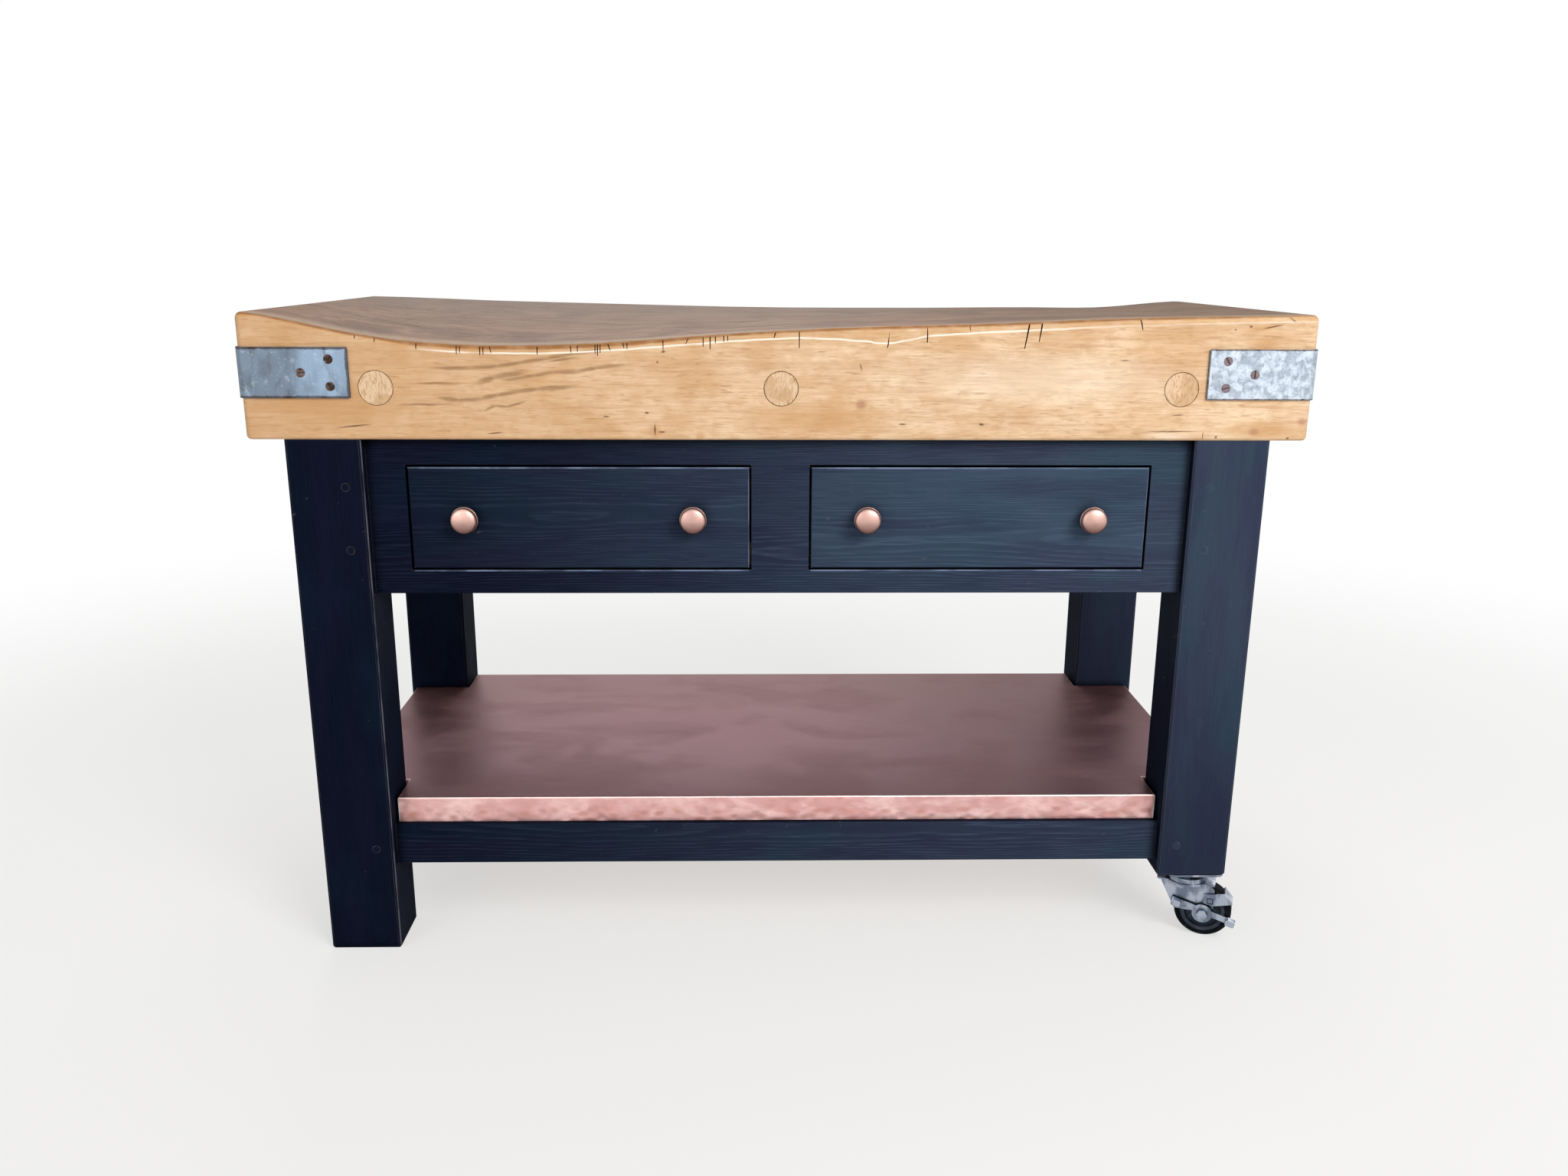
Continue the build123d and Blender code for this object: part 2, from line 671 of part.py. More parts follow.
with BuildPart() as knob_form:
    with BuildSketch(Plane.XZ):
        with BuildLine():
            foot = Polyline(
                (0, knob_screw_grip),
                (knob_screw_diameter / 2, knob_screw_grip),
                (knob_screw_diameter / 2, 0),
                (knob_base_diameter / 2, 0),
                (knob_base_diameter / 2, knob_base_thickness),
                (knob_neck_diameter / 2, knob_base_thickness),
            )
            neck = Line(foot @ 1, (knob_neck_diameter / 2, knob_base_thickness + knob_neck_length / 2))
            flare = TangentArc(neck @ 1, (knob_diameter / 2, knob_rim_base), tangent=(0, 1))
            rim = Polyline(flare @ 1, (knob_diameter / 2, knob_rim_top), (dome_radius, knob_rim_top))
            dome = ThreePointArc(rim @ 1, dome_middle, (0, knob_projection))
            Line(dome @ 1, foot @ 0)
        make_face()
    revolve(axis=Axis.Z)

with BuildPart() as knob_screw_form:
    with BuildSketch():
        Circle(knob_screw_diameter / 2)
    extrude(amount=knob_screw_grip)
    with BuildSketch():
        Circle(knob_screw_diameter / 2)
    extrude(amount=-drawer_front_thickness)
    with BuildSketch(Plane.XY.offset(-drawer_front_thickness)):
        Circle(knob_screw_head_diameter / 2)
    extrude(amount=-knob_screw_head_height)
    fillet(knob_screw_form.edges().group_by(Axis.Z)[0], knob_screw_head_height / 2)


def make_drawer(side_name, centre_x):
    """One drawer: two sides dovetailed into the front, a back, a bottom, knobs and their screws."""
    face_z = drawer_bottom_z + drawer_height / 2
    knob_reach = drawer_width / 2 - knob_end_inset
    knob_planes = [
        Plane((centre_x + side_x * knob_reach, drawer_face_y, face_z), z_dir=(0, -1, 0))
        for side_x in (left, right)
    ]
    inner_half = drawer_width / 2 - drawer_side_thickness
    front_back_y = drawer_face_y + drawer_front_thickness
    panel_z = drawer_bottom_z + drawer_bottom_rise
    panel_half = inner_half + groove_depth

    with BuildPart() as knob_screws:
        with Locations(*knob_planes):
            add(knob_screw_form.part)
    save(knob_screws, f"{side_name}_drawer_knob_screws")

    with BuildPart() as knobs:
        with Locations(*knob_planes):
            add(knob_form.part)
    save(knobs, f"{side_name}_drawer_knobs")

    with BuildPart() as bottom:
        panel_from, panel_to = front_back_y - groove_depth, drawer_rear_y
        panel_top = panel_z + drawer_bottom_thickness
        slab(centre_x - panel_half, centre_x + panel_half, panel_from, panel_to, panel_z, panel_top)
    save(bottom, f"{side_name}_drawer_bottom")

    with BuildPart() as back:
        back_from = drawer_rear_y - drawer_back_thickness
        back_top = drawer_bottom_z + side_height - drawer_back_drop
        back_half = inner_half + groove_depth
        slab(centre_x - back_half, centre_x + back_half, back_from, drawer_rear_y, panel_top, back_top)
    save(back, f"{side_name}_drawer_back")

    with BuildPart() as sides:
        side_faces = [centre_x - drawer_width / 2, centre_x + inner_half]
        with BuildSketch(*[Plane.YZ.offset(face_x) for face_x in side_faces]):
            side_middle = drawer_bottom_z + side_height / 2
            with Locations(((front_back_y + drawer_rear_y) / 2, side_middle)):
                Rectangle(drawer_rear_y - front_back_y, side_height)
            with Locations((front_back_y, side_middle)):
                with GridLocations(0, side_height / tail_count, 1, tail_count):
                    Polygon(
                        (0, -tail_width / 2),
                        (0, tail_width / 2),
                        (-tail_length, tail_width / 2 + tail_flare),
                        (-tail_length, -tail_width / 2 - tail_flare),
                    )
        extrude(amount=drawer_side_thickness)
        add(bottom.part, mode=Mode.SUBTRACT)
        add(back.part, mode=Mode.SUBTRACT)
    save(sides, f"{side_name}_drawer_sides")

    with BuildPart() as drawer_front:
        half = drawer_width / 2
        front_top = drawer_bottom_z + drawer_height
        slab(centre_x - half, centre_x + half, drawer_face_y, front_back_y, drawer_bottom_z, front_top)
        fillet(drawer_front.faces().sort_by(Axis.Y)[0].edges(), drawer_front_arris)
        for let_in in (sides, bottom, knob_screws):
            add(let_in.part, mode=Mode.SUBTRACT)
    save(drawer_front, f"{side_name}_drawer_front")


make_drawer("left", -drawer_centre_x)
make_drawer("right", drawer_centre_x)


def make_caster(end_name, kingpin_y):
    """The turning half of one caster: fork, wheel, axle and side brake, swivelled as it stands."""
    swivel_angle = radians(swivel_turn)
    swivel = Plane((kingpin_x, kingpin_y, 0), x_dir=(cos(swivel_angle), sin(swivel_angle), 0))
    brake_side = Plane(swivel.origin, x_dir=swivel.x_dir, z_dir=-swivel.y_dir)
    axle_centre = brake_side.from_local_coords((trail, axle_height, 0))
    wheel = Plane(axle_centre, x_dir=swivel.x_dir, z_dir=-swivel.y_dir)
    lever_face = fork_width / 2 + shoe_thickness + 2 * side_play
    head_face = lever_face + lever_thickness + side_play

    with BuildPart() as axle_bush:
        with BuildSketch(wheel):
            Circle(bush_diameter / 2)
            Circle(axle_diameter / 2, mode=Mode.SUBTRACT)
        extrude(amount=fork_gap / 2, both=True)
    save(axle_bush, f"{end_name}_caster_axle_bush")

    with BuildPart() as axle_bolt:
        nut_end = fork_width / 2 + axle_nut_height
        with BuildSketch(wheel.offset(-nut_end - axle_end)):
            Circle(axle_diameter / 2)
        extrude(amount=nut_end + axle_end + head_face)
        with BuildSketch(wheel.offset(head_face)):
            RegularPolygon(axle_head_across_flats / 2, 6, major_radius=False)
        extrude(amount=axle_head_height)
        with BuildSketch(wheel.offset(-nut_end)):
            RegularPolygon(axle_head_across_flats / 2, 6, major_radius=False)
        extrude(amount=axle_nut_height)
    save(axle_bolt, f"{end_name}_caster_axle_bolt")

    hub_radius = axle_height - tyre_thickness
    with BuildPart() as tyre:
        with BuildSketch(wheel):
            Circle(axle_height)
            Circle(hub_radius, mode=Mode.SUBTRACT)
        extrude(amount=tyre_width / 2, both=True)
        fillet(tyre.edges().sort_by(SortBy.LENGTH)[-2:], tyre_shoulder_radius)
    save(tyre, f"{end_name}_caster_tyre")

    with BuildPart() as hub:
        with BuildSketch(wheel):
            Circle(hub_radius)
        extrude(amount=tyre_width / 2, both=True)
        dish_floor = tyre_width / 2 - hub_dish_depth
        with BuildSketch(wheel.offset(dish_floor), wheel.offset(-tyre_width / 2)):
            Circle(hub_radius - hub_rim_width)
        extrude(amount=hub_dish_depth, mode=Mode.SUBTRACT)
        with BuildSketch(wheel):
            Circle(hub_boss_diameter / 2)
        extrude(amount=fork_gap / 2 - side_play, both=True)
        with BuildSketch(wheel):
            Circle(bush_diameter / 2 + running_gap)
        extrude(amount=fork_gap, both=True, mode=Mode.SUBTRACT)
    save(hub, f"{end_name}_caster_hub")

    with BuildPart() as fork:
        fork_nose = trail + fork_front
        with BuildSketch(swivel.offset(crown_bottom)):
            Circle(crown_radius)
            with Locations(((fork_nose - fork_back) / 2, 0)):
                RectangleRounded(fork_nose + fork_back, fork_width, fork_corner_radius)
        extrude(amount=fork_thickness)
        with BuildSketch(swivel.offset(crown_top)):
            Circle(race_cup_diameter / 2)
            Circle(race_boss_diameter / 2 + side_play, mode=Mode.SUBTRACT)
        extrude(amount=race_cup_height)
        with BuildSketch(swivel.offset(crown_bottom)):
            Circle(kingpin_diameter / 2 + running_gap)
        extrude(amount=fork_thickness, mode=Mode.SUBTRACT)
        with BuildSketch(brake_side.offset(fork_gap / 2), brake_side.offset(-fork_width / 2)):
            cheek_back = fork_back - fork_corner_radius
            cheek_nose = fork_nose - fork_corner_radius
            Polygon(
                (-cheek_back, crown_bottom),
                (-fork_heel, axle_height),
                (fork_nose, axle_height),
                (fork_nose, crown_bottom - fork_corner_radius),
                (cheek_nose, crown_bottom),
            )
            with Locations((trail, axle_height)):
                Circle(fork_eye_radius)
                Circle(axle_diameter / 2, mode=Mode.SUBTRACT)
        extrude(amount=fork_thickness)
        with BuildSketch(wheel.offset(fork_width / 2)):
            with Locations((lug_forward, lug_rise)):
                Rectangle(lug_size, lug_size)
        extrude(amount=shoe_thickness + side_play)
    save(fork, f"{end_name}_caster_fork")

    with BuildPart() as brake_shoe:
        shoe_radius = axle_height + shoe_gap
        toe = radians(shoe_angle)
        toe_x, toe_z = cos(toe), sin(toe)
        half_pad = shoe_pad_length / 2
        outer = shoe_radius + shoe_pad_thickness
        with BuildSketch(wheel.offset(fork_width / 2 + side_play)):
            web = lug_size / 2 + lug_play
            Polygon(
                (lug_forward - web - shoe_pad_thickness * 2, lug_rise + web + shoe_pad_thickness * 2),
                (outer * toe_x - half_pad * toe_z, outer * toe_z + half_pad * toe_x),
                (outer * toe_x + half_pad * toe_z, outer * toe_z - half_pad * toe_x),
                (lug_forward + web, lug_rise - web - shoe_pad_thickness),
                (lug_forward - web - shoe_pad_thickness * 2, lug_rise - web),
            )
            with Locations((lug_forward, lug_rise)):
                Rectangle(lug_size + 2 * lug_play, lug_size + 2 * lug_play, mode=Mode.SUBTRACT)
        extrude(amount=shoe_thickness)
        with BuildSketch(wheel.offset(fork_width / 2 + side_play)):
            with Locations(Location((0, 0, 0), (0, 0, shoe_angle))):
                with Locations((shoe_radius + shoe_pad_thickness / 2, 0)):
                    Rectangle(shoe_pad_thickness, shoe_pad_length)
        extrude(amount=-shoe_pad_width)
    save(brake_shoe, f"{end_name}_caster_brake_shoe")

    with BuildPart() as brake_lever:
        tilt = radians(lever_tilt)
        arm_dir = wheel.x_dir * cos(tilt) + wheel.y_dir * sin(tilt)
        rocked = Plane(axle_centre, x_dir=arm_dir, z_dir=wheel.z_dir)
        pad_middle = lever_reach - lever_pad_length / 2
        with BuildSketch(rocked.offset(lever_face)):
            Circle(lever_disc_radius)
            with Locations((0, lever_arm_lift)):
                Rectangle(2 * lever_reach, lever_arm_height)
            Circle(axle_diameter / 2 + running_gap, mode=Mode.SUBTRACT)
        extrude(amount=lever_thickness)
        with BuildSketch(rocked.offset(lever_face + lever_thickness)):
            with Locations((0, lever_arm_lift)):
                with GridLocations(2 * pad_middle, 0, 2, 1):
                    RectangleRounded(lever_pad_length, lever_arm_height, lever_thickness)
        extrude(amount=lever_pad_depth)
        with BuildSketch(rocked.offset(fork_width / 2 + side_play)):
            Circle(lever_boss_radius)
            Circle(axle_diameter / 2 + running_gap, mode=Mode.SUBTRACT)
        extrude(amount=lever_face - fork_width / 2 - side_play)
    save(brake_lever, f"{end_name}_caster_brake_lever")


make_caster("front", -leg_y)
make_caster("rear", leg_y)
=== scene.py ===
"""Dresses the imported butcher's block: its finishes, its worn edges, its studio and its camera.

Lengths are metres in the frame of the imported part: +X to the right along the block, +Y to the rear,
+Z up, with the origin on the floor under the middle.
"""

import logging
import math
import random
from collections.abc import Iterable, Iterator, Mapping, Sequence
from contextlib import contextmanager
from dataclasses import dataclass, field, replace
from enum import Enum
from functools import cached_property
from typing import ClassVar, NamedTuple

import bmesh
import bpy
from mathutils import Matrix, Vector
from mathutils.bvhtree import BVHTree

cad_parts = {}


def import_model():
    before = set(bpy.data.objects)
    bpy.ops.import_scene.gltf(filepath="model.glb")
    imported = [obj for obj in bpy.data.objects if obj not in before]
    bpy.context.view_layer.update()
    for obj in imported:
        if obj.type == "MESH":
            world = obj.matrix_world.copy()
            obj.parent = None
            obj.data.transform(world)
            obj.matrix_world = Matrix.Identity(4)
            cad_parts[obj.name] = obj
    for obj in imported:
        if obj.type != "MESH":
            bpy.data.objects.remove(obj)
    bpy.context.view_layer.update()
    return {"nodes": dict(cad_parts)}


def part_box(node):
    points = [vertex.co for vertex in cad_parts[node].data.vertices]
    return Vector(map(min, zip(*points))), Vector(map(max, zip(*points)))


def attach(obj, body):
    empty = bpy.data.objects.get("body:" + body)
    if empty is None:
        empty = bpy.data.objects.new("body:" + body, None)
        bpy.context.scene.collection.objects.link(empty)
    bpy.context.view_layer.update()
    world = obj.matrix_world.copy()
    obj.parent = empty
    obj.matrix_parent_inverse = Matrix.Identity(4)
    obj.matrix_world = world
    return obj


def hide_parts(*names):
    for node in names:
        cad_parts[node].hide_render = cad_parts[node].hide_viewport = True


LOG = logging.getLogger("butcher_block")
MM = 0.001
MARK_DEPTH = 0.02
WELD_REACH = 1e-6
CUT_REACH = 1e-7
PLANE_REACH = 1e-5
SAME_FACING = 0.999
SHARP_ANGLE = 30.0

Colour = tuple[float, float, float, float]
Span = tuple[float, float]
Triple = tuple[float, float, float]
Socket = bpy.types.NodeSocket
Feed = float | Sequence[float] | Socket
Sockets = Mapping[str, Socket]
ShapePart = bmesh.types.BMFace | bmesh.types.BMEdge | bmesh.types.BMVert
WHITE: Colour = (1.0, 1.0, 1.0, 1.0)
PITH_ACROSS: Span = (0.05, 0.11)
PITH_THROUGH: Span = (-0.05, 0.05)


def tint(red: int, green: int, blue: int) -> Colour:
    """Turns a screen colour into the linear values that a shader takes.

    Args:
        red: Red, from 0 to 255.
        green: Green, from 0 to 255.
        blue: Blue, from 0 to 255.

    Returns:
        The linear colour, opaque.
    """
    shares = [level / 255 for level in (red, green, blue)]
    linear = [s / 12.92 if s <= 0.04045 else ((s + 0.055) / 1.055) ** 2.4 for s in shares]
    return (*linear, 1.0)


class GrainRun(Enum):
    """The way a board's grain runs; each value gives the axes along, across and through the board."""

    ALONG_X = (0, 1, 2)
    ALONG_Y = (1, 0, 2)
    ALONG_Z = (2, 0, 1)

    def turn(self, point: Vector) -> Vector:
        """Gives a point in the board's own order of axes."""
        return Vector([point[axis] for axis in self.value])


class MarkKind(Enum):
    """The kinds of mark that show on the front of the block."""

    STREAK = "streak"
    CRACK = "crack"
    KNOT = "knot"
    STAIN = "stain"
    PALE = "pale"


MARK_ROWS: dict[MarkKind, tuple[tuple[float, ...], ...]] = {
    MarkKind.CRACK: (
        (-367, 740, 15, 1.4, 8.0), (-546, 748.5, 28, 1.5, 5.5), (-162, 744.5, 1.8, 10), (-153, 742, 7, 1.6),
        (-224, 761, 6, 1.2), (-149.5, 843, 4, 2.2, 20), (-157.3, 830, 1.8, 2.4), (-172, 766, 4, 1.8),
        (258.6, 752, 5, 2.2), (156.5, 752, 7, 1.4), (101.5, 825, 1.2, 7, 15), (504.5, 743.2, 47, 1.0),
        (547.6, 737.3, 1.0, 7.5), (565, 735.8, 2.6, 2.2), (659, 734.6, 3.0, 2.2), (513, 764.6, 12, 1.0, 3),
        (439, 833.4, 9, 1.0), (577.6, 872.4, 2, 1.8), (597, 876.4, 3, 2.2), (625, 876, 18, 1.5, 12),
        (650, 885, 8, 1.8, -35),
    ),
    MarkKind.KNOT: (
        (102.5, 776.7, 10.5, 9.5), (614, 743, 10, 7), (676, 756.2, 10, 6),
    ),
    MarkKind.STAIN: (
        (-104, 736, 9, 9), (110, 735, 12, 7), (-162, 742, 12, 14), (618, 854.5, 24, 11),
        (614, 874.5, 28, 5, 8), (261, 878, 8, 9), (40, 758, 120, 30), (-560, 775, 110, 40),
        (630, 745, 70, 18),
    ),
    MarkKind.PALE: (
        (505, 737, 44, 6), (330, 810, 240, 45),
    ),
}


@dataclass(frozen=True)
class Mark:
    """One mark on the front of the block, in millimetres and degrees, as in the rows above."""

    kind: MarkKind
    x: float
    z: float
    half_length: float
    half_height: float
    tilt: float = 0.0

    def spot(self) -> "Spot":
        """Gives the oval that paints the mark."""
        centre = (self.x * MM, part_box("front_stave")[0].y, self.z * MM)
        size = (self.half_length * MM, MARK_DEPTH, self.half_height * MM)
        return Spot(centre, size, math.radians(self.tilt))


@dataclass(frozen=True)
class Nick:
    """One knife cut down the front edge of the block, in millimetres; lean is how far its foot is aside."""

    x: float
    low_z: float
    lean: float = 0.0
    width: float = 1.9
    foot_depth: float = 3.0
    foot_width: ClassVar[float] = 0.65

    def depth_at(self, share: float, full: float) -> float:
        """Gives the depth of the cut, from shallow at its foot to its full depth at the edge."""
        return self.foot_depth + (full - self.foot_depth) * share

    def half_width(self, share: float) -> float:
        """Gives half the width of the cut, which narrows towards its foot."""
        return self.width / 2 * (self.foot_width + (1 - self.foot_width) * share)


@dataclass(frozen=True)
class Streak:
    """A dark vein along the front of the block, given by points in millimetres."""

    overlap: ClassVar[float] = 1.15
    half_height: float
    points: tuple[Span, ...]

    def marks(self) -> list[Mark]:
        """Gives an oval for each run from point to point."""
        ovals = []
        for (x, z), (next_x, next_z) in zip(self.points, self.points[1:]):
            half_length = self.overlap * math.hypot(next_x - x, next_z - z)
            tilt = math.degrees(math.atan2(next_z - z, next_x - x))
            middle_x, middle_z = (x + next_x) / 2, (z + next_z) / 2
            ovals.append(Mark(MarkKind.STREAK, middle_x, middle_z, half_length, self.half_height, tilt))
        return ovals


class Graph:
    """A node tree with short ways to add nodes and join them."""

    def __init__(self, tree: bpy.types.NodeTree) -> None:
        """Keeps the tree that the nodes go into."""
        self.tree = tree

    def add(
        self, kind: str, feeds: Mapping[str | int, Feed] | None = None, **settings: object
    ) -> bpy.types.Node:
        """Adds a node.

        Args:
            kind: The shader node's type, without its prefix.
            feeds: Constants or sockets for its inputs, by name or by place.
            **settings: Properties of the node.

        Returns:
            The new node.
        """
        node = self.tree.nodes.new("ShaderNode" + kind)
        for key, setting in settings.items():
            setattr(node, key, setting)
        for key, value in (feeds or {}).items():
            self.feed(node.inputs[key], value)
        return node

    def feed(self, target: Socket, value: Feed) -> None:
        """Joins an input to a socket, or sets its constant.

        Args:
            target: The input.
            value: A socket to join it to, or a constant.
        """
        if isinstance(value, bpy.types.NodeSocket):
            self.tree.links.new(value, target)
        else:
            target.default_value = value

    def math(self, operation: str, first: Feed, second: Feed = 0.0) -> Socket:
        """Works out one sum.

        Args:
            operation: The name of the sum.
            first: The first value.
            second: The second value, where the sum has one.

        Returns:
            The answer.
        """
        return self.add("Math", {0: first, 1: second}, operation=operation).outputs[0]

    def times(self, *values: Feed) -> Socket:
        """Multiplies values together.

        Args:
            *values: The values.

        Returns:
            The product.
        """
        answer = values[0]
        for value in values[1:]:
            answer = self.math("MULTIPLY", answer, value)
        return answer

    def most(self, values: Sequence[Socket]) -> Socket:
        """Gives the largest of several values.

        Args:
            values: The values.

        Returns:
            The largest.
        """
        answer = values[0]
        for value in values[1:]:
            answer = self.math("MAXIMUM", answer, value)
        return answer

    def less(self, value: Feed) -> Socket:
        """Gives one minus a value."""
        return self.math("SUBTRACT", 1.0, value)

    def mix(self, share: Feed, first: Feed, second: Feed) -> Socket:
        """Mixes two colours.

        Args:
            share: How much of the second colour shows.
            first: The colour underneath.
            second: The colour on top.

        Returns:
            The mixed colour.
        """
        return self.add("Mix", {0: share, 6: first, 7: second}, data_type="RGBA").outputs[2]

    def spread(self, value: Feed, low: Feed, high: Feed, start: float = 0.0, end: float = 1.0) -> Socket:
        """Eases a value from one range to another.

        Args:
            value: The value.
            low: Where the easing starts.
            high: Where it ends.
            start: The answer at low.
            end: The answer at high.

        Returns:
            The eased value.
        """
        feeds = {"Value": value, "From Min": low, "From Max": high, "To Min": start, "To Max": end}
        return self.add("MapRange", feeds, interpolation_type="SMOOTHSTEP").outputs[0]

    def stretch(self, vector: Feed, factors: Sequence[float]) -> Socket:
        """Scales a vector along each axis."""
        return self.vectors("MULTIPLY", vector, factors)

    def vectors(self, operation: str, first: Feed, second: Feed) -> Socket:
        """Works out one sum of two vectors."""
        return self.add("VectorMath", {0: first, 1: second}, operation=operation).outputs[0]

    def length(self, vector: Socket) -> Socket:
        """Gives a vector's length."""
        return self.add("VectorMath", {0: vector}, operation="LENGTH").outputs["Value"]

    def noise(self, vector: Feed, scale: Feed, detail: float = 2.0, twist: Feed = 0.0) -> Socket:
        """Gives soft noise from about 0 to 1.

        Args:
            vector: Where on the surface.
            scale: How many lumps to a metre.
            detail: How many finer layers are added.
            twist: How far the lumps swirl.

        Returns:
            The noise.
        """
        feeds = {"Vector": vector, "Scale": scale, "Detail": detail, "Distortion": twist}
        return self.add("TexNoise", feeds).outputs[0]

    def stray(self, vector: Feed, scale: float, reach: Feed, detail: float = 3.0) -> Socket:
        """Gives a wander about zero, by up to half its reach each way."""
        return self.times(self.math("SUBTRACT", self.noise(vector, scale, detail), 0.5), reach)

    def split(self, vector: Socket) -> Sockets:
        """Gives a vector's X, Y and Z."""
        return self.add("SeparateXYZ", {0: vector}).outputs

    def join(self, x: Feed, y: Feed, z: Feed) -> Socket:
        """Makes a vector of three values."""
        return self.add("CombineXYZ", {0: x, 1: y, 2: z}).outputs[0]


class Surface(Graph):
    """The tree of one material, with the place on its surface and the way that the surface faces."""

    def __init__(self, tree: bpy.types.NodeTree) -> None:
        """Finds the place on the surface.

        Args:
            tree: The material's tree.
        """
        super().__init__(tree)
        self.found = self.add("TexCoord").outputs
        self.vector = self.found["Object"]

    @cached_property
    def place(self) -> Sockets:
        """Gives the place's X, Y and Z."""
        return self.split(self.vector)

    @cached_property
    def facing(self) -> Sockets:
        """Gives the normal's X, Y and Z."""
        return self.split(self.found["Normal"])

    def board_axes(self, run: GrainRun) -> Socket:
        """Gives the place in a board's own order of axes, with its grain along X."""
        return self.join(*[self.place[axis] for axis in run.value])

    def coat(self, colour: Feed, *layers: tuple[Colour, "Mask | Socket"]) -> Socket:
        """Paints layers over a colour, one after another.

        Args:
            colour: The colour underneath.
            *layers: The colour of each layer, and where it shows.

        Returns:
            The painted colour.
        """
        for shade, mask in layers:
            colour = self.mix(mask.on(self) if isinstance(mask, Mask) else mask, colour, shade)
        return colour


@dataclass(frozen=True)
class Mask:
    """Says where something shows on a surface; share is the most that shows."""

    share: float = field(default=1.0, kw_only=True)

    def on(self, at: Surface) -> Socket:
        """Adds the mask's nodes and gives its value."""
        raise NotImplementedError


@dataclass(frozen=True)
class Ramp(Mask):
    """A mask that eases in, from a start, between two places along an axis."""

    axis: str
    low: float
    high: float
    start: float = 0.0

    def follow(self, at: Surface) -> Socket:
        """Gives what the ramp follows."""
        return at.place[self.axis]

    def on(self, at: Surface) -> Socket:
        """Eases from the one level to the other."""
        return at.times(at.spread(self.follow(at), self.low, self.high, start=self.start), self.share)


@dataclass(frozen=True)
class Facing(Ramp):
    """A mask that eases in as the surface turns to face along an axis."""

    def follow(self, at: Surface) -> Socket:
        """Gives the part of the normal along the axis."""
        return at.facing[self.axis]


@dataclass(frozen=True)
class Speckle(Mask):
    """Plain noise, so many lumps to a metre, eased from a start to an end between two levels."""

    scale: float
    detail: float
    low: float
    high: float
    start: float = 0.0
    end: float = 1.0
    twist: float = 0.0
    stretch: Triple | None = None

    def on(self, at: Surface) -> Socket:
        """Adds the noise and eases it.

        Args:
            at: The material's surface.

        Returns:
            The mask.
        """
        place = at.stretch(at.vector, self.stretch) if self.stretch else at.vector
        noise = at.noise(place, self.scale, self.detail, self.twist)
        return at.times(at.spread(noise, self.low, self.high, self.start, self.end), self.share)


VALUE, VECTOR = "NodeSocketFloat", "NodeSocketVector"
FACING_UP = Facing("Z", 0.8, 0.98)


@dataclass(frozen=True)
class Effect(Mask):
    """One use of a shader node group that finishes share; the group is built on first use.

    The fields of each kind of effect are its group's inputs. Stretch scales the place along each axis first.
    """

    group_name: ClassVar[str] = ""
    inputs: ClassVar[Mapping[str, str]] = {}
    outputs: ClassVar[tuple[str, ...]] = ("Mask",)
    stretch: Triple | None = field(default=None, kw_only=True)

    @classmethod
    def wire(cls, graph: Graph, given: Sockets) -> dict[str, Socket]:
        """Adds the nodes of the group.

        Args:
            graph: The group's tree.
            given: The group's inputs.

        Returns:
            A socket for each of the group's outputs, by name.
        """
        raise NotImplementedError

    @classmethod
    def group(cls) -> bpy.types.NodeTree:
        """Finds the node group, or builds it."""
        tree = bpy.data.node_groups.get(cls.group_name)
        if tree is None:
            tree = bpy.data.node_groups.new(cls.group_name, "ShaderNodeTree")
            for label, kind in cls.inputs.items():
                tree.interface.new_socket(label, in_out="INPUT", socket_type=kind)
            for label in cls.outputs:
                tree.interface.new_socket(label, in_out="OUTPUT", socket_type=VALUE)
            graph = Graph(tree)
            given = tree.nodes.new("NodeGroupInput").outputs
            wanted = tree.nodes.new("NodeGroupOutput").inputs
            for label, socket in cls.wire(graph, given).items():
                graph.feed(wanted[label], socket)
        return tree

    def put(self, at: Surface, vector: Socket | None = None, **given: Feed) -> Sockets:
        """Puts the group in a material.

        Args:
            at: The material's surface.
            vector: The place that the group reads, where it isn't the surface's own.
            **given: Inputs that the material settles, by name; the fields give the others.

        Returns:
            The group's outputs.
        """
        if "Vector" in self.inputs:
            place = at.vector if vector is None else vector
            given["vector"] = at.stretch(place, self.stretch) if self.stretch else place
        node = at.add("Group", node_tree=self.group())
        for label in self.inputs:
            key = label.lower()
            at.feed(node.inputs[label], given[key] if key in given else getattr(self, key))
        return node.outputs

    def on(self, at: Surface) -> Socket:
        """Puts the group in a material and gives the share of its mask that shows."""
        return at.times(self.put(at)[self.outputs[0]], self.share)


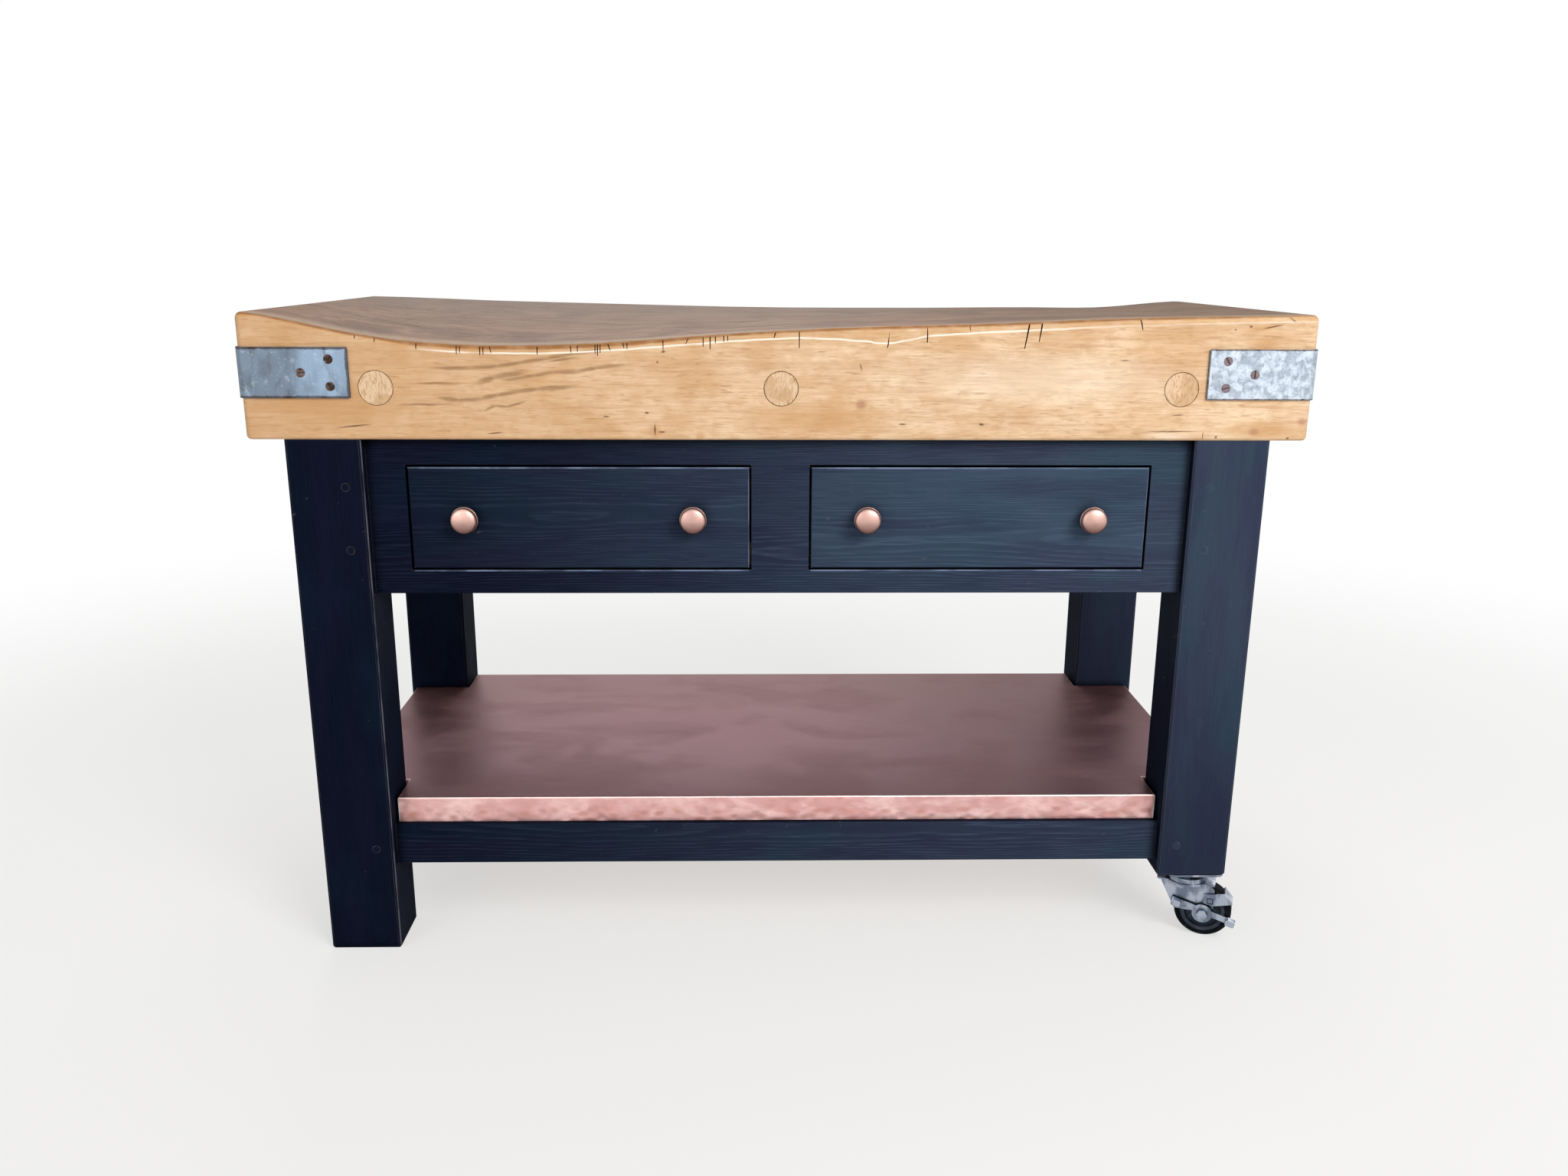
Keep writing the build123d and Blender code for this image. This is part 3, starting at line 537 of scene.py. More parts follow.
@dataclass(frozen=True)
class Grain(Effect):
    """Growth rings about a pith, fine fibres and short flecks, for a board with its grain along X.

    Spacing is from ring to ring, wander is how far the rings stray, and fibre counts the fibres to a metre.
    """

    group_name = "wood_grain"
    inputs = {"Vector": VECTOR, "Pith": VECTOR, "Spacing": VALUE, "Wander": VALUE, "Fibre": VALUE}
    outputs = ("Rings", "Fibre", "Flecks")
    drift: ClassVar[Triple] = (1.4, 6.0, 6.0)
    late_wood: ClassVar[Span] = (0.25, 0.9)
    ring_edge: ClassVar[Span] = (0.92, 1.0)
    thread_stretch: ClassVar[Triple] = (0.03, 1.0, 1.0)
    fleck_stretch: ClassVar[Triple] = (0.1, 1.0, 1.0)
    fleck_fineness: ClassVar[float] = 1.6
    fleck_cut: ClassVar[Span] = (0.62, 0.72)
    spacing: float
    wander: float
    fibre: float = 420.0
    pith: Triple = (0.0, 0.0, 0.0)

    @classmethod
    def wire(cls, graph: Graph, given: Sockets) -> dict[str, Socket]:
        """Adds the rings, the fibres and the flecks.

        Args:
            graph: The group's tree.
            given: The group's inputs.

        Returns:
            The group's outputs, by name.
        """
        wander = graph.stray(graph.stretch(given["Vector"], cls.drift), 1.0, given["Wander"])
        across = graph.stretch(graph.vectors("SUBTRACT", given["Vector"], given["Pith"]), (0.0, 1.0, 1.0))
        turns = graph.math("DIVIDE", graph.math("ADD", graph.length(across), wander), given["Spacing"])
        phase = graph.math("FRACT", turns)
        early = graph.less(graph.spread(phase, *cls.ring_edge))
        threads = graph.noise(graph.stretch(given["Vector"], cls.thread_stretch), given["Fibre"], detail=3.0)
        finer = graph.times(given["Fibre"], cls.fleck_fineness)
        dashes = graph.noise(graph.stretch(given["Vector"], cls.fleck_stretch), finer, detail=1.0)
        return {
            "Rings": graph.times(graph.spread(phase, *cls.late_wood), early),
            "Fibre": threads,
            "Flecks": graph.spread(dashes, *cls.fleck_cut),
        }


@dataclass(frozen=True)
class EdgeWear(Effect):
    """A mask along the edges of a piece, within a radius, broken so many times to a metre."""

    group_name = "edge_wear"
    inputs = {"Vector": VECTOR, "Radius": VALUE, "Breakup": VALUE, "Low": VALUE, "High": VALUE}
    bend: ClassVar[Span] = (0.004, 0.16)
    least_wear: ClassVar[float] = 0.45
    radius: float
    breakup: float
    low: float
    high: float

    @classmethod
    def wire(cls, graph: Graph, given: Sockets) -> dict[str, Socket]:
        """Compares the surface with one whose edges are rounded.

        Args:
            graph: The group's tree.
            given: The group's inputs.

        Returns:
            The group's outputs, by name.
        """
        rounded = graph.add("Bevel", {"Radius": given["Radius"]}, samples=4).outputs[0]
        straight = graph.add("NewGeometry").outputs["Normal"]
        likeness = graph.add("VectorMath", {0: rounded, 1: straight}, operation="DOT_PRODUCT")
        edge = graph.spread(graph.less(likeness.outputs["Value"]), *cls.bend)
        patchy = graph.noise(given["Vector"], given["Breakup"], detail=4.0)
        worn = graph.times(edge, graph.math("ADD", patchy, cls.least_wear))
        return {"Mask": graph.spread(worn, given["Low"], given["High"])}


@dataclass(frozen=True)
class Blotches(Effect):
    """Soft patches, so many to a metre, which swirl by a twist, with a lower and an upper cut."""

    group_name = "blotches"
    inputs = {"Vector": VECTOR, "Scale": VALUE, "Twist": VALUE, "Low": VALUE, "High": VALUE}
    scale: float
    twist: float
    low: float
    high: float

    @classmethod
    def wire(cls, graph: Graph, given: Sockets) -> dict[str, Socket]:
        """Cuts soft noise between the two levels."""
        lumps = graph.noise(given["Vector"], given["Scale"], detail=5.0, twist=given["Twist"])
        return {"Mask": graph.spread(lumps, given["Low"], given["High"])}


@dataclass(frozen=True)
class Scratches(Effect):
    """Short straight scratches in three directions on a level surface or an upright one."""

    group_name = "scratches"
    inputs = {"Vector": VECTOR, "Scale": VALUE, "Low": VALUE, "High": VALUE}
    turns: ClassVar[tuple[Triple, ...]] = ((0.3, 0.2, 0.5), (0.5, -0.4, 1.4), (-0.4, 0.6, 2.5))
    drawn_out: ClassVar[Triple] = (0.035, 1.0, 1.0)
    scale: float
    low: float
    high: float

    @classmethod
    def wire(cls, graph: Graph, given: Sockets) -> dict[str, Socket]:
        """Turns stretched noise three ways and keeps its peaks.

        Args:
            graph: The group's tree.
            given: The group's inputs.

        Returns:
            The group's outputs, by name.
        """
        sets = []
        for turn in cls.turns:
            feeds = {"Vector": given["Vector"], "Rotation": turn}
            turned = graph.add("VectorRotate", feeds, rotation_type="EULER_XYZ").outputs[0]
            lines = graph.noise(graph.stretch(turned, cls.drawn_out), given["Scale"], detail=1.0)
            sets.append(graph.spread(lines, given["Low"], given["High"]))
        return {"Mask": graph.most(sets)}


@dataclass(frozen=True)
class Spot(Effect):
    """One soft-edged oval on an upright face, tilted in that face."""

    group_name = "spot"
    inputs = {"Vector": VECTOR, "Centre": VECTOR, "Size": VECTOR, "Tilt": VALUE}
    soft_edge: ClassVar[Span] = (1.0, 0.2)
    centre: Triple
    size: Triple
    tilt: float

    @classmethod
    def wire(cls, graph: Graph, given: Sockets) -> dict[str, Socket]:
        """Measures the distance from the oval's centre.

        Args:
            graph: The group's tree.
            given: The group's inputs.

        Returns:
            The group's outputs, by name.
        """
        away = graph.vectors("SUBTRACT", given["Vector"], given["Centre"])
        feeds = {"Vector": away, "Angle": given["Tilt"]}
        level = graph.add("VectorRotate", feeds, rotation_type="Y_AXIS").outputs[0]
        reach = graph.length(graph.vectors("DIVIDE", level, given["Size"]))
        return {"Mask": graph.spread(reach, *cls.soft_edge)}


@dataclass(frozen=True)
class Dents(Effect):
    """Shallow overlapping hammer or casting dents, so many to a metre, as a height."""

    group_name = "dents"
    inputs = {"Vector": VECTOR, "Scale": VALUE}
    outputs = ("Height",)
    smoothness: ClassVar[float] = 0.6
    bowl: ClassVar[Span] = (0.0, 0.75)
    scale: float

    @classmethod
    def wire(cls, graph: Graph, given: Sockets) -> dict[str, Socket]:
        """Rounds the cells of a cell pattern.

        Args:
            graph: The group's tree.
            given: The group's inputs.

        Returns:
            The group's outputs, by name.
        """
        feeds = {"Vector": given["Vector"], "Scale": given["Scale"], "Smoothness": cls.smoothness}
        cells = graph.add("TexVoronoi", feeds, feature="SMOOTH_F1").outputs["Distance"]
        return {"Height": graph.spread(cells, *cls.bowl)}


@dataclass(frozen=True)
class Crevices(Effect):
    """A mask of painted shade in the recesses, within a reach."""

    group_name = "recess_shade_group"
    inputs = {"Reach": VALUE, "Low": VALUE, "High": VALUE}
    reach: float
    low: float
    high: float

    @classmethod
    def wire(cls, graph: Graph, given: Sockets) -> dict[str, Socket]:
        """Measures how closed in the surface is."""
        free = graph.add("AmbientOcclusion", {"Distance": given["Reach"]}, samples=6).outputs["AO"]
        return {"Mask": graph.spread(graph.less(free), given["Low"], given["High"])}


class Look(NamedTuple):
    """What a finish gives its shader; the roughness follows the texture, where there is one."""

    colour: Socket
    height: Socket | None = None
    texture: Socket | None = None


@dataclass(frozen=True, kw_only=True)
class Finish:
    """One surface finish, made into a material on first use.

    As the texture goes through rough_reach, the roughness goes from rough_swing[0] below its level to
    rough_swing[1] above it. The relief is a depth in millimetres and how much of it shows.
    """

    name: str
    roughness: float = 0.5
    rough_reach: Span = (0.0, 1.0)
    rough_swing: Span = (0.08, 0.1)
    specular: float = 0.5
    metallic: float = 0.0
    relief: Span = (0.4, 0.4)

    def material(self) -> bpy.types.Material:
        """Finds the finish's material, or makes it."""
        made = bpy.data.materials.get(self.name)
        if made is None:
            made = bpy.data.materials.new(self.name)
            made.use_nodes = True
            at = Surface(made.node_tree)
            shader = made.node_tree.nodes["Principled BSDF"].inputs
            shader["Roughness"].default_value = self.roughness
            shader["Specular IOR Level"].default_value = self.specular
            shader["Metallic"].default_value = self.metallic
            look = self.paint(at)
            at.feed(shader["Base Color"], look.colour)
            if look.texture is not None:
                ends = (self.roughness - self.rough_swing[0], self.roughness + self.rough_swing[1])
                at.feed(shader["Roughness"], at.spread(look.texture, *self.rough_reach, *ends))
            if look.height is not None:
                depth, strength = self.relief
                feeds = {"Height": look.height, "Distance": depth * MM, "Strength": strength}
                at.feed(shader["Normal"], at.add("Bump", feeds).outputs[0])
        return made

    def paint(self, at: Surface) -> Look:
        """Adds the finish's nodes.

        Args:
            at: The material's surface.

        Returns:
            What they give the shader.
        """
        raise NotImplementedError


@dataclass(frozen=True, kw_only=True)
class OiledMaple(Finish):
    """Pale close-grained block wood, browner on its worn top and darker on its end grain, with painted sheen
    and highlights.

    The ripple, the ragged line and the reaches above a line are in millimetres, places in metres.
    """

    roughness: float = 0.6
    rough_reach: Span = (0.2, 0.8)
    specular: float = 0.1
    relief: Span = (0.5, 0.35)
    stave_pitch: float
    marks: tuple[Mark, ...] = ()
    worn_line: tuple[Span, ...] = ()
    strip_line: tuple[Span, ...] = ()

    pale: Colour = tint(240, 210, 175)
    tan: Colour = tint(210, 168, 124)
    thread: Colour = tint(170, 124, 82)
    warm: Colour = tint(202, 152, 102)
    grain: Grain = Grain(0.017, 0.05, pith=(0.0, 0.13, 0.70))
    bands: Blotches = Blotches(9.0, 0.8, 0.38, 0.68, stretch=(1.0, 12.0, 12.0), share=0.4)
    clouds: Blotches = Blotches(11.0, 0.5, 0.42, 0.7, stretch=(1.0, 1.7, 1.7), share=0.5)
    mottle: Blotches = Blotches(46.0, 0.6, 0.4, 0.72, stretch=(1.0, 1.7, 1.7), share=0.5)
    lines: Blotches = Blotches(38.0, 0.5, 0.46, 0.7, stretch=(1.0, 12.0, 12.0), share=0.28)
    pores: Blotches = Blotches(300.0, 0.2, 0.58, 0.74, stretch=(0.12, 1.0, 1.0), share=0.6)
    side_threads: Span = (0.5, 0.74)
    side_shares: Triple = (0.22, 0.1, 0.24)
    left_end: Ramp = Ramp("X", 0.2, -0.6, share=0.5)

    # Pale patches on the front, and the painted highlight along the foot of the worn chamfer.
    bare: Colour = tint(255, 240, 222)
    streak: Colour = tint(136, 100, 64)
    crack: Colour = tint(70, 44, 28)
    knot: Colour = tint(178, 126, 98)
    pale_share: float = 0.3
    stain_share: float = 0.6
    knot_share: float = 0.7
    crack_share: float = 0.8
    ripple: float = 3.4
    ripple_scale: float = 90.0
    ripple_stretch: Triple = (0.35, 1.0, 1.0)
    veins: Speckle = Speckle(24.0, 3.0, 0.35, 0.65, 0.7, twist=0.6, stretch=(1.0, 1.0, 14.0), share=0.72)

    arris: Colour = tint(158, 106, 62)
    chamfer: Colour = tint(214, 164, 110)
    forward: Facing = Facing("Y", -0.04, -0.25)
    ragged: float = 2.4
    ragged_scale: float = 24.0
    soft: Speckle = Speckle(34.0, 4.0, 0.3, 0.65)
    patchy: Speckle = Speckle(40.0, 4.0, 0.3, 0.6, 0.55, 0.95)
    broken: Speckle = Speckle(14.0, 3.0, 0.3, 0.5, 0.25, stretch=(1.0, 0.0, 0.0))
    chamfer_reach: Span = (0.0, 1.6)
    chamfer_share: float = 0.6
    strip_reach: Span = (-1.6, 1.6)
    # Painted highlight along the foot of the chamfer: its reach about the line and where it fades out at the
    # ends.
    bare_foot: Span = (-2.9, -1.5)
    bare_head: Span = (0.5, -0.6)
    bare_left: Ramp = Ramp("X", -0.48, -0.41)
    bare_right: Ramp = Ramp("X", 0.46, 0.28, start=0.3)

    top_light: Colour = tint(153, 118, 92)
    top_dark: Colour = tint(98, 69, 51)
    # Painted sheen: the top greys towards the rear and the right.
    top_grey: Colour = tint(119, 100, 83)
    # Painted highlight along the front rim of the top.
    top_rim: Colour = tint(196, 168, 138)
    soaked: Blotches = Blotches(9.0, 0.9, 0.38, 0.68, share=0.7)
    specks: Blotches = Blotches(55.0, 1.0, 0.52, 0.72, stretch=(0.4, 1.0, 1.0), share=0.55)
    scores: Scratches = Scratches(260.0, 0.68, 0.78)
    top_threads: Span = (0.45, 0.7)
    glue_line: Span = (0.48, 0.5)
    glue_share: float = 0.6
    # Where the painted sheen greys the top, and how much of it shows.
    grey_rear: Ramp = Ramp("Y", -0.1, 0.25)
    grey_right: Ramp = Ramp("X", 0.1, 0.6)
    grey_share: float = 0.55
    # Reach of the painted highlight in from the front of the top, and how much of it shows.
    rim_reach: Span = (0.055, 0.012)
    rim_share: float = 0.6
    top_shares: Triple = (0.4, 0.5, 0.5)

    end_light: Colour = tint(206, 158, 104)
    end_dark: Colour = tint(140, 94, 54)
    facing_end: Span = (0.75, 0.95)
    end_grain: Grain = Grain(0.0065, 0.05, 300.0, pith=(0.0, 0.06, 0.84))
    end_shift: Span = (1.6, 0.4)
    end_shares: Span = (0.26, 0.5)
    rays: Blotches = Blotches(60.0, 0.8, 0.4, 0.7, share=0.3)
    checks: Blotches = Blotches(30.0, 0.8, 0.66, 0.74, stretch=(1.0, 9.0, 1.0), share=0.7)

    def paint(self, at: Surface) -> Look:
        """Adds the side, top and end of the wood, with its marks and its worn edge.

        Args:
            at: The material's surface.

        Returns:
            What the nodes give the shader.
        """
        grain = self.grain.put(at)
        colour = self.side_colour(at, grain)
        if self.marks:
            colour = self.mark_colour(at, colour)
        if self.worn_line:
            colour = self.edge_colour(at, colour)
        upward, scored = FACING_UP.on(at), self.scores.on(at)
        colour = at.mix(upward, colour, self.top_colour(at, grain, scored))
        endward = at.spread(at.math("ABSOLUTE", at.facing["X"]), *self.facing_end)
        colour = at.mix(endward, colour, self.end_colour(at))
        height = at.math("SUBTRACT", grain["Fibre"], at.times(scored, upward))
        return Look(colour, height, grain["Fibre"])

    def side_colour(self, at: Surface, grain: Sockets) -> Socket:
        """Gives the colour of the long sides.

        Args:
            at: The material's surface.
            grain: The outputs of the grain group.

        Returns:
            The colour.
        """
        threads = at.spread(grain["Fibre"], *self.side_threads)
        veins = zip((threads, grain["Rings"], grain["Flecks"]), self.side_shares)
        darker = (self.lines, self.pores, *[at.times(mask, share) for mask, share in veins])
        colour = at.coat(self.pale, (self.tan, self.bands), (self.warm, self.clouds), (self.tan, self.mottle))
        return at.coat(colour, *[(self.thread, mask) for mask in darker], (self.warm, self.left_end))

    def mark_colour(self, at: Surface, colour: Socket) -> Socket:
        """Adds the marks to the front.

        Args:
            at: The material's surface.
            colour: The wood's colour without them.

        Returns:
            The colour with them.
        """
        drawn = at.stretch(at.vector, self.ripple_stretch)
        lift = at.stray(drawn, self.ripple_scale, self.ripple * MM)
        rippled = at.vectors("ADD", at.vector, at.join(0.0, 0.0, lift))
        layers = (
            (MarkKind.PALE, self.bare, self.pale_share),
            (MarkKind.STAIN, self.warm, self.stain_share),
            (MarkKind.STREAK, self.streak, self.veins.on(at)),
            (MarkKind.KNOT, self.knot, self.knot_share),
            (MarkKind.CRACK, self.crack, self.crack_share),
        )
        for kind, shade, share in layers:
            spots = [mark.spot().put(at, rippled)["Mask"] for mark in self.marks if mark.kind is kind]
            if spots:
                colour = at.coat(colour, (shade, at.times(at.most(spots), share)))
        return colour

    @staticmethod
    def line_height(at: Surface, outline: Sequence[Span]) -> Socket:
        """Gives the height of a line along the front of the block.

        Args:
            at: The material's surface.
            outline: Places along the block, evenly spaced, each with the line's height.

        Returns:
            The height.
        """
        places, heights = zip(*outline)
        low, high = min(heights), max(heights)
        feeds = {"Value": at.place["X"], "From Min": places[0], "From Max": places[-1]}
        curve = at.add("FloatCurve", {"Value": at.add("MapRange", feeds).outputs[0]})
        line = curve.mapping.curves[0].points
        for place, height in outline[1:-1]:
            line.new((place - places[0]) / (places[-1] - places[0]), (height - low) / (high - low))
        line[0].location = (0.0, (heights[0] - low) / (high - low))
        line[len(line) - 1].location = (1.0, (heights[-1] - low) / (high - low))
        curve.mapping.update()
        feeds = {"Value": curve.outputs[0], "To Min": low, "To Max": high}
        return at.add("MapRange", feeds).outputs[0]

    def edge_colour(self, at: Surface, colour: Socket) -> Socket:
        """Adds the worn front edge: a brown strip, a tan chamfer and a painted highlight along the foot of the
        chamfer.

        Args:
            at: The material's surface.
            colour: The wood's colour without it.

        Returns:
            The colour with it.
        """
        along = at.stretch(at.vector, (1.0, 0.0, 0.0))
        height = at.math("ADD", at.place["Z"], at.stray(along, self.ragged_scale, self.ragged * MM))
        above_line = at.math("SUBTRACT", height, self.line_height(at, self.worn_line))
        above_strip = at.math("SUBTRACT", height, self.line_height(at, self.strip_line))
        tanned, strip, foot, head = [
            at.spread(above, low * MM, high * MM)
            for above, (low, high) in (
                (above_line, self.chamfer_reach),
                (above_strip, self.strip_reach),
                (above_line, self.bare_foot),
                (above_line, self.bare_head),
            )
        ]
        forward = self.forward.on(at)
        ends = [mask.on(at) for mask in (self.broken, self.bare_left, self.bare_right)]
        return at.coat(
            colour,
            (self.chamfer, at.times(tanned, forward, self.soft.on(at), self.chamfer_share)),
            (self.arris, at.times(strip, forward, self.patchy.on(at))),
            # The painted highlight along the foot of the chamfer.
            (self.bare, at.times(foot, head, forward, *ends)),
        )

    def stave_tone(self, at: Surface) -> tuple[Socket, Socket, Socket]:
        """Tells the staves apart.

        Args:
            at: The material's surface.

        Returns:
            The place across a stave, from -0.5 to 0.5, a tone for each stave, and the mask of the glue lines.
        """
        rows = at.math("DIVIDE", at.place["Y"], self.stave_pitch)
        tone = at.add("TexWhiteNoise", {"W": at.math("FLOOR", rows)}, noise_dimensions="1D").outputs[0]
        across = at.math("SUBTRACT", at.math("FRACT", rows), 0.5)
        glued = at.times(at.spread(at.math("ABSOLUTE", across), *self.glue_line), self.glue_share)
        return across, tone, glued

    def top_colour(self, at: Surface, grain: Sockets, scored: Socket) -> Socket:
        """Gives the colour of the worn top, with a painted sheen towards the rear and the right and a painted
        highlight along its front rim.

        Args:
            at: The material's surface.
            grain: The outputs of the grain group.
            scored: The mask of the knife scratches.

        Returns:
            The colour.
        """
        tone, glued = self.stave_tone(at)[1:]
        tone_share, thread_share, score_share = self.top_shares
        threads = at.spread(grain["Fibre"], *self.top_threads)
        # Painted sheen towards the rear and the right, and a painted highlight along the front rim.
        top_sheened = at.most([self.grey_rear.on(at), self.grey_right.on(at)])
        front_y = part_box("front_stave")[0].y
        rim = Ramp("Y", *[front_y + reach for reach in self.rim_reach], share=self.rim_share)
        return at.coat(
            self.top_light,
            (self.top_dark, self.soaked),
            (self.top_dark, at.times(tone, tone_share)),
            (self.top_dark, self.specks),
            (self.top_dark, at.times(threads, thread_share)),
            (self.crack, glued),
            (self.top_grey, at.times(top_sheened, self.grey_share)),
            (self.top_rim, rim),
            (self.crack, at.times(scored, score_share)),
        )

    def end_colour(self, at: Surface) -> Socket:
        """Gives the colour of the end grain.

        Args:
            at: The material's surface.

        Returns:
            The colour.
        """
        across, tone, glued = self.stave_tone(at)
        aside, lift = [at.times(tone, shift) for shift in self.end_shift]
        ring_share, tone_share = self.end_shares
        own_y = at.times(at.math("ADD", across, aside), self.stave_pitch)
        own = at.join(at.place["X"], own_y, at.math("ADD", at.place["Z"], lift))
        return at.coat(
            self.end_light,
            (self.end_dark, at.times(self.end_grain.put(at, own)["Rings"], ring_share)),
            (self.end_dark, self.rays),
            (self.thread, at.times(tone, tone_share)),
            (self.crack, glued),
            (self.crack, self.checks),
        )


@dataclass(frozen=True, kw_only=True)
class PlugWood(Finish):
    """End grain of the round plugs, with a dark glue ring round each; the ring's reach is in millimetres."""

    roughness: float = 0.58
    specular: float = 0.14
    spacing: float
    centre_z: float
    radius: float
    light: Colour = tint(228, 196, 162)
    dark: Colour = tint(186, 144, 98)
    ring: Colour = tint(106, 72, 44)
    arc_scale: float = 210.0
    arc_twist: float = 2.0
    arc_stretch: Triple = (1.0, 1.0, 0.3)
    arc_cut: Span = (0.46, 0.66)
    arc_share: float = 0.7
    halves: Blotches = Blotches(22.0, 0.2, 0.47, 0.53, share=0.45)
    ragged: float = 2.0
    ragged_scale: float = 120.0
    ring_reach: Span = (1.5, 0.6)
    ring_share: float = 0.85

    def paint(self, at: Surface) -> Look:
        """Adds the end grain and the ring.

        Args:
            at: The material's surface.

        Returns:
            What the nodes give the shader.
        """
        rows = at.math("ROUND", at.math("DIVIDE", at.place["X"], self.spacing))
        near = at.math("SUBTRACT", at.place["X"], at.times(rows, self.spacing))
        reach = at.length(at.join(near, 0.0, at.math("SUBTRACT", at.place["Z"], self.centre_z)))
        uneven = at.math("ADD", reach, at.stray(at.vector, self.ragged_scale, self.ragged * MM, detail=2.0))
        ring = at.spread(uneven, *[self.radius - inset * MM for inset in self.ring_reach])
        drawn = at.stretch(at.vector, self.arc_stretch)
        arcs = at.noise(drawn, self.arc_scale, detail=3.0, twist=self.arc_twist)
        veins = at.times(at.spread(arcs, *self.arc_cut), self.arc_share)
        layers = (self.dark, veins), (self.dark, self.halves), (self.ring, at.times(ring, self.ring_share))
        return Look(at.coat(self.light, *layers), arcs)


@dataclass(frozen=True)
class Glint:
    """A painted highlight along an arris: a strip of a board's front, by its reach in x and in z, in metres."""

    x: Span
    z: Span


@dataclass(frozen=True, kw_only=True)
class StainedPine(Finish):
    """Navy black stain brushed on pine, lighter where painted light falls, with its edges rubbed pale.

    Along the block, the painted light starts at the first of its two places and is whole at the second, in
    metres.
    """

    rough_reach: Span = (0.2, 0.8)
    specular: float = 0.004
    relief: Span = (0.35, 0.4)
    run: GrainRun
    pith: Triple
    deep: Colour = tint(12, 18, 34)
    teal: Colour = tint(13, 27, 43)
    violet: Colour = tint(22, 21, 42)
    # Lit colours of the stain, which show where the painted light falls.
    faded: Colour = tint(56, 67, 85)
    faded_teal: Colour = tint(42, 72, 82)
    faded_violet: Colour = tint(60, 56, 86)
    lifted: Colour = tint(88, 106, 128)
    rubbed: Colour = tint(150, 138, 130)
    # Painted shade in the recesses and between parts.
    gap: Colour = tint(3, 4, 8)
    glint: Colour = tint(120, 134, 160)
    glints: tuple[Glint, ...] = ()
    glint_edge: float = 0.4
    forward: Facing = Facing("Y", -0.2, -0.6)
    # Breaks up the painted highlights.
    polish: Speckle = Speckle(22.0, 3.0, 0.35, 0.62, 0.25, 0.9)
    grain: Grain = Grain(1.5 * MM, 0.02, 560.0)
    patches: Blotches = Blotches(4.0, 0.4, 0.35, 0.68, stretch=(1.0, 6.0, 6.0), share=0.5)
    tones: Blotches = Blotches(8.0, 0.2, 0.42, 0.66, share=0.6)
    # The painted light: how much the lit tones show, its swing with the patches, its start and end along the
    # block, how it follows faces turned to the front or the right, and how little of it falls low down and
    # towards the rear.
    bleach_share: float = 0.35
    fade_swing: Span = (0.95, 0.76)
    fade_from: float = -0.62
    fade_to: float = 0.42
    lit_reach: Span = (0.2, 0.7)
    unlit_share: float = 0.1
    low_reach: Span = (0.1, 0.6)
    low_share: float = 0.68
    rear: Ramp = Ramp("Y", 0.2, -0.2, start=0.6)
    line_cut: Span = (0.35, 0.65)
    line_swing: Span = (0.08, 0.33)
    line_share: float = 1.0
    height_shares: Span = (0.7, 0.5)
    rubs: EdgeWear = EdgeWear(1.8 * MM, 16.0, 0.45, 0.95, share=0.55)
    scuffs: Scratches = Scratches(120.0, 0.78, 0.84, share=0.1)
    # Where the painted shade in the recesses shows.
    joints: Crevices = Crevices(20.0 * MM, 0.2, 0.6, share=0.9)

    def paint(self, at: Surface) -> Look:
        """Adds the stain, its painted light, the grain, the painted shade in the recesses, the rubbed edges and
        the painted highlights.

        Args:
            at: The material's surface.

        Returns:
            What the nodes give the shader.
        """
        board = at.board_axes(self.run)
        grain = self.grain.put(at, board, pith=self.pith)
        patch, tone = [layer.put(at, board)["Mask"] for layer in (self.patches, self.tones)]
        stained_tone, stained_patch = at.times(tone, self.tones.share), at.times(patch, self.patches.share)
        colour = at.coat(self.deep, (self.teal, stained_tone), (self.violet, stained_patch))
        lit_tone, lit_patch = [at.times(mask, self.bleach_share) for mask in (tone, patch)]
        lit_colour = at.coat(self.faded, (self.faded_teal, lit_tone), (self.faded_violet, lit_patch))
        # Painted light: the lit colours show where it falls.
        fade = self.fade(at)
        colour = at.mix(at.times(fade, at.spread(patch, 0.0, 1.0, *self.fade_swing)), colour, lit_colour)
        swing = [self.line_share * share for share in self.line_swing]
        lines = at.times(grain["Rings"], at.spread(grain["Fibre"], *self.line_cut))
        rubbed = at.most([self.rubs.on(at), self.scuffs.on(at)])
        # Grain lines lift where the painted light falls.
        shown = at.times(lines, at.spread(fade, 0.0, 1.0, *swing))
        glints = [(self.glint, self.glint_mask(at))] if self.glints else []
        layers = ((self.lifted, shown), (self.rubbed, rubbed), *glints, (self.gap, self.joints))
        parts = zip((grain["Rings"], grain["Fibre"]), self.height_shares)
        height = at.math("ADD", *[at.times(part, share) for part, share in parts])
        return Look(at.coat(colour, *layers), height, grain["Fibre"])

    def glint_mask(self, at: Surface) -> Socket:
        """Finds the painted highlights along arrises on the front of the board.

        Args:
            at: The material's surface.

        Returns:
            The mask.
        """
        soft = self.glint_edge * MM
        strips = []
        for glint in self.glints:
            ends = [
                ramp.on(at)
                for axis, (low, high) in (("X", glint.x), ("Z", glint.z))
                for ramp in (Ramp(axis, low - soft, low + soft), Ramp(axis, high + soft, high - soft))
            ]
            strips.append(at.times(*ends))
        return at.times(at.most(strips), self.polish.on(at), self.forward.on(at))

    def fade(self, at: Surface) -> Socket:
        """Says how much painted light falls on the stain: most on the front and the right end, least low down
        and behind.

        Args:
            at: The material's surface.

        Returns:
            The share.
        """
        lit = at.most([at.times(at.facing["Y"], -1.0), at.facing["X"]])
        return at.times(
            Ramp("X", self.fade_from, self.fade_to).on(at),
            at.spread(lit, *self.lit_reach, start=self.unlit_share),
            Ramp("Z", *self.low_reach, start=self.low_share).on(at),
            self.rear.on(at),
        )


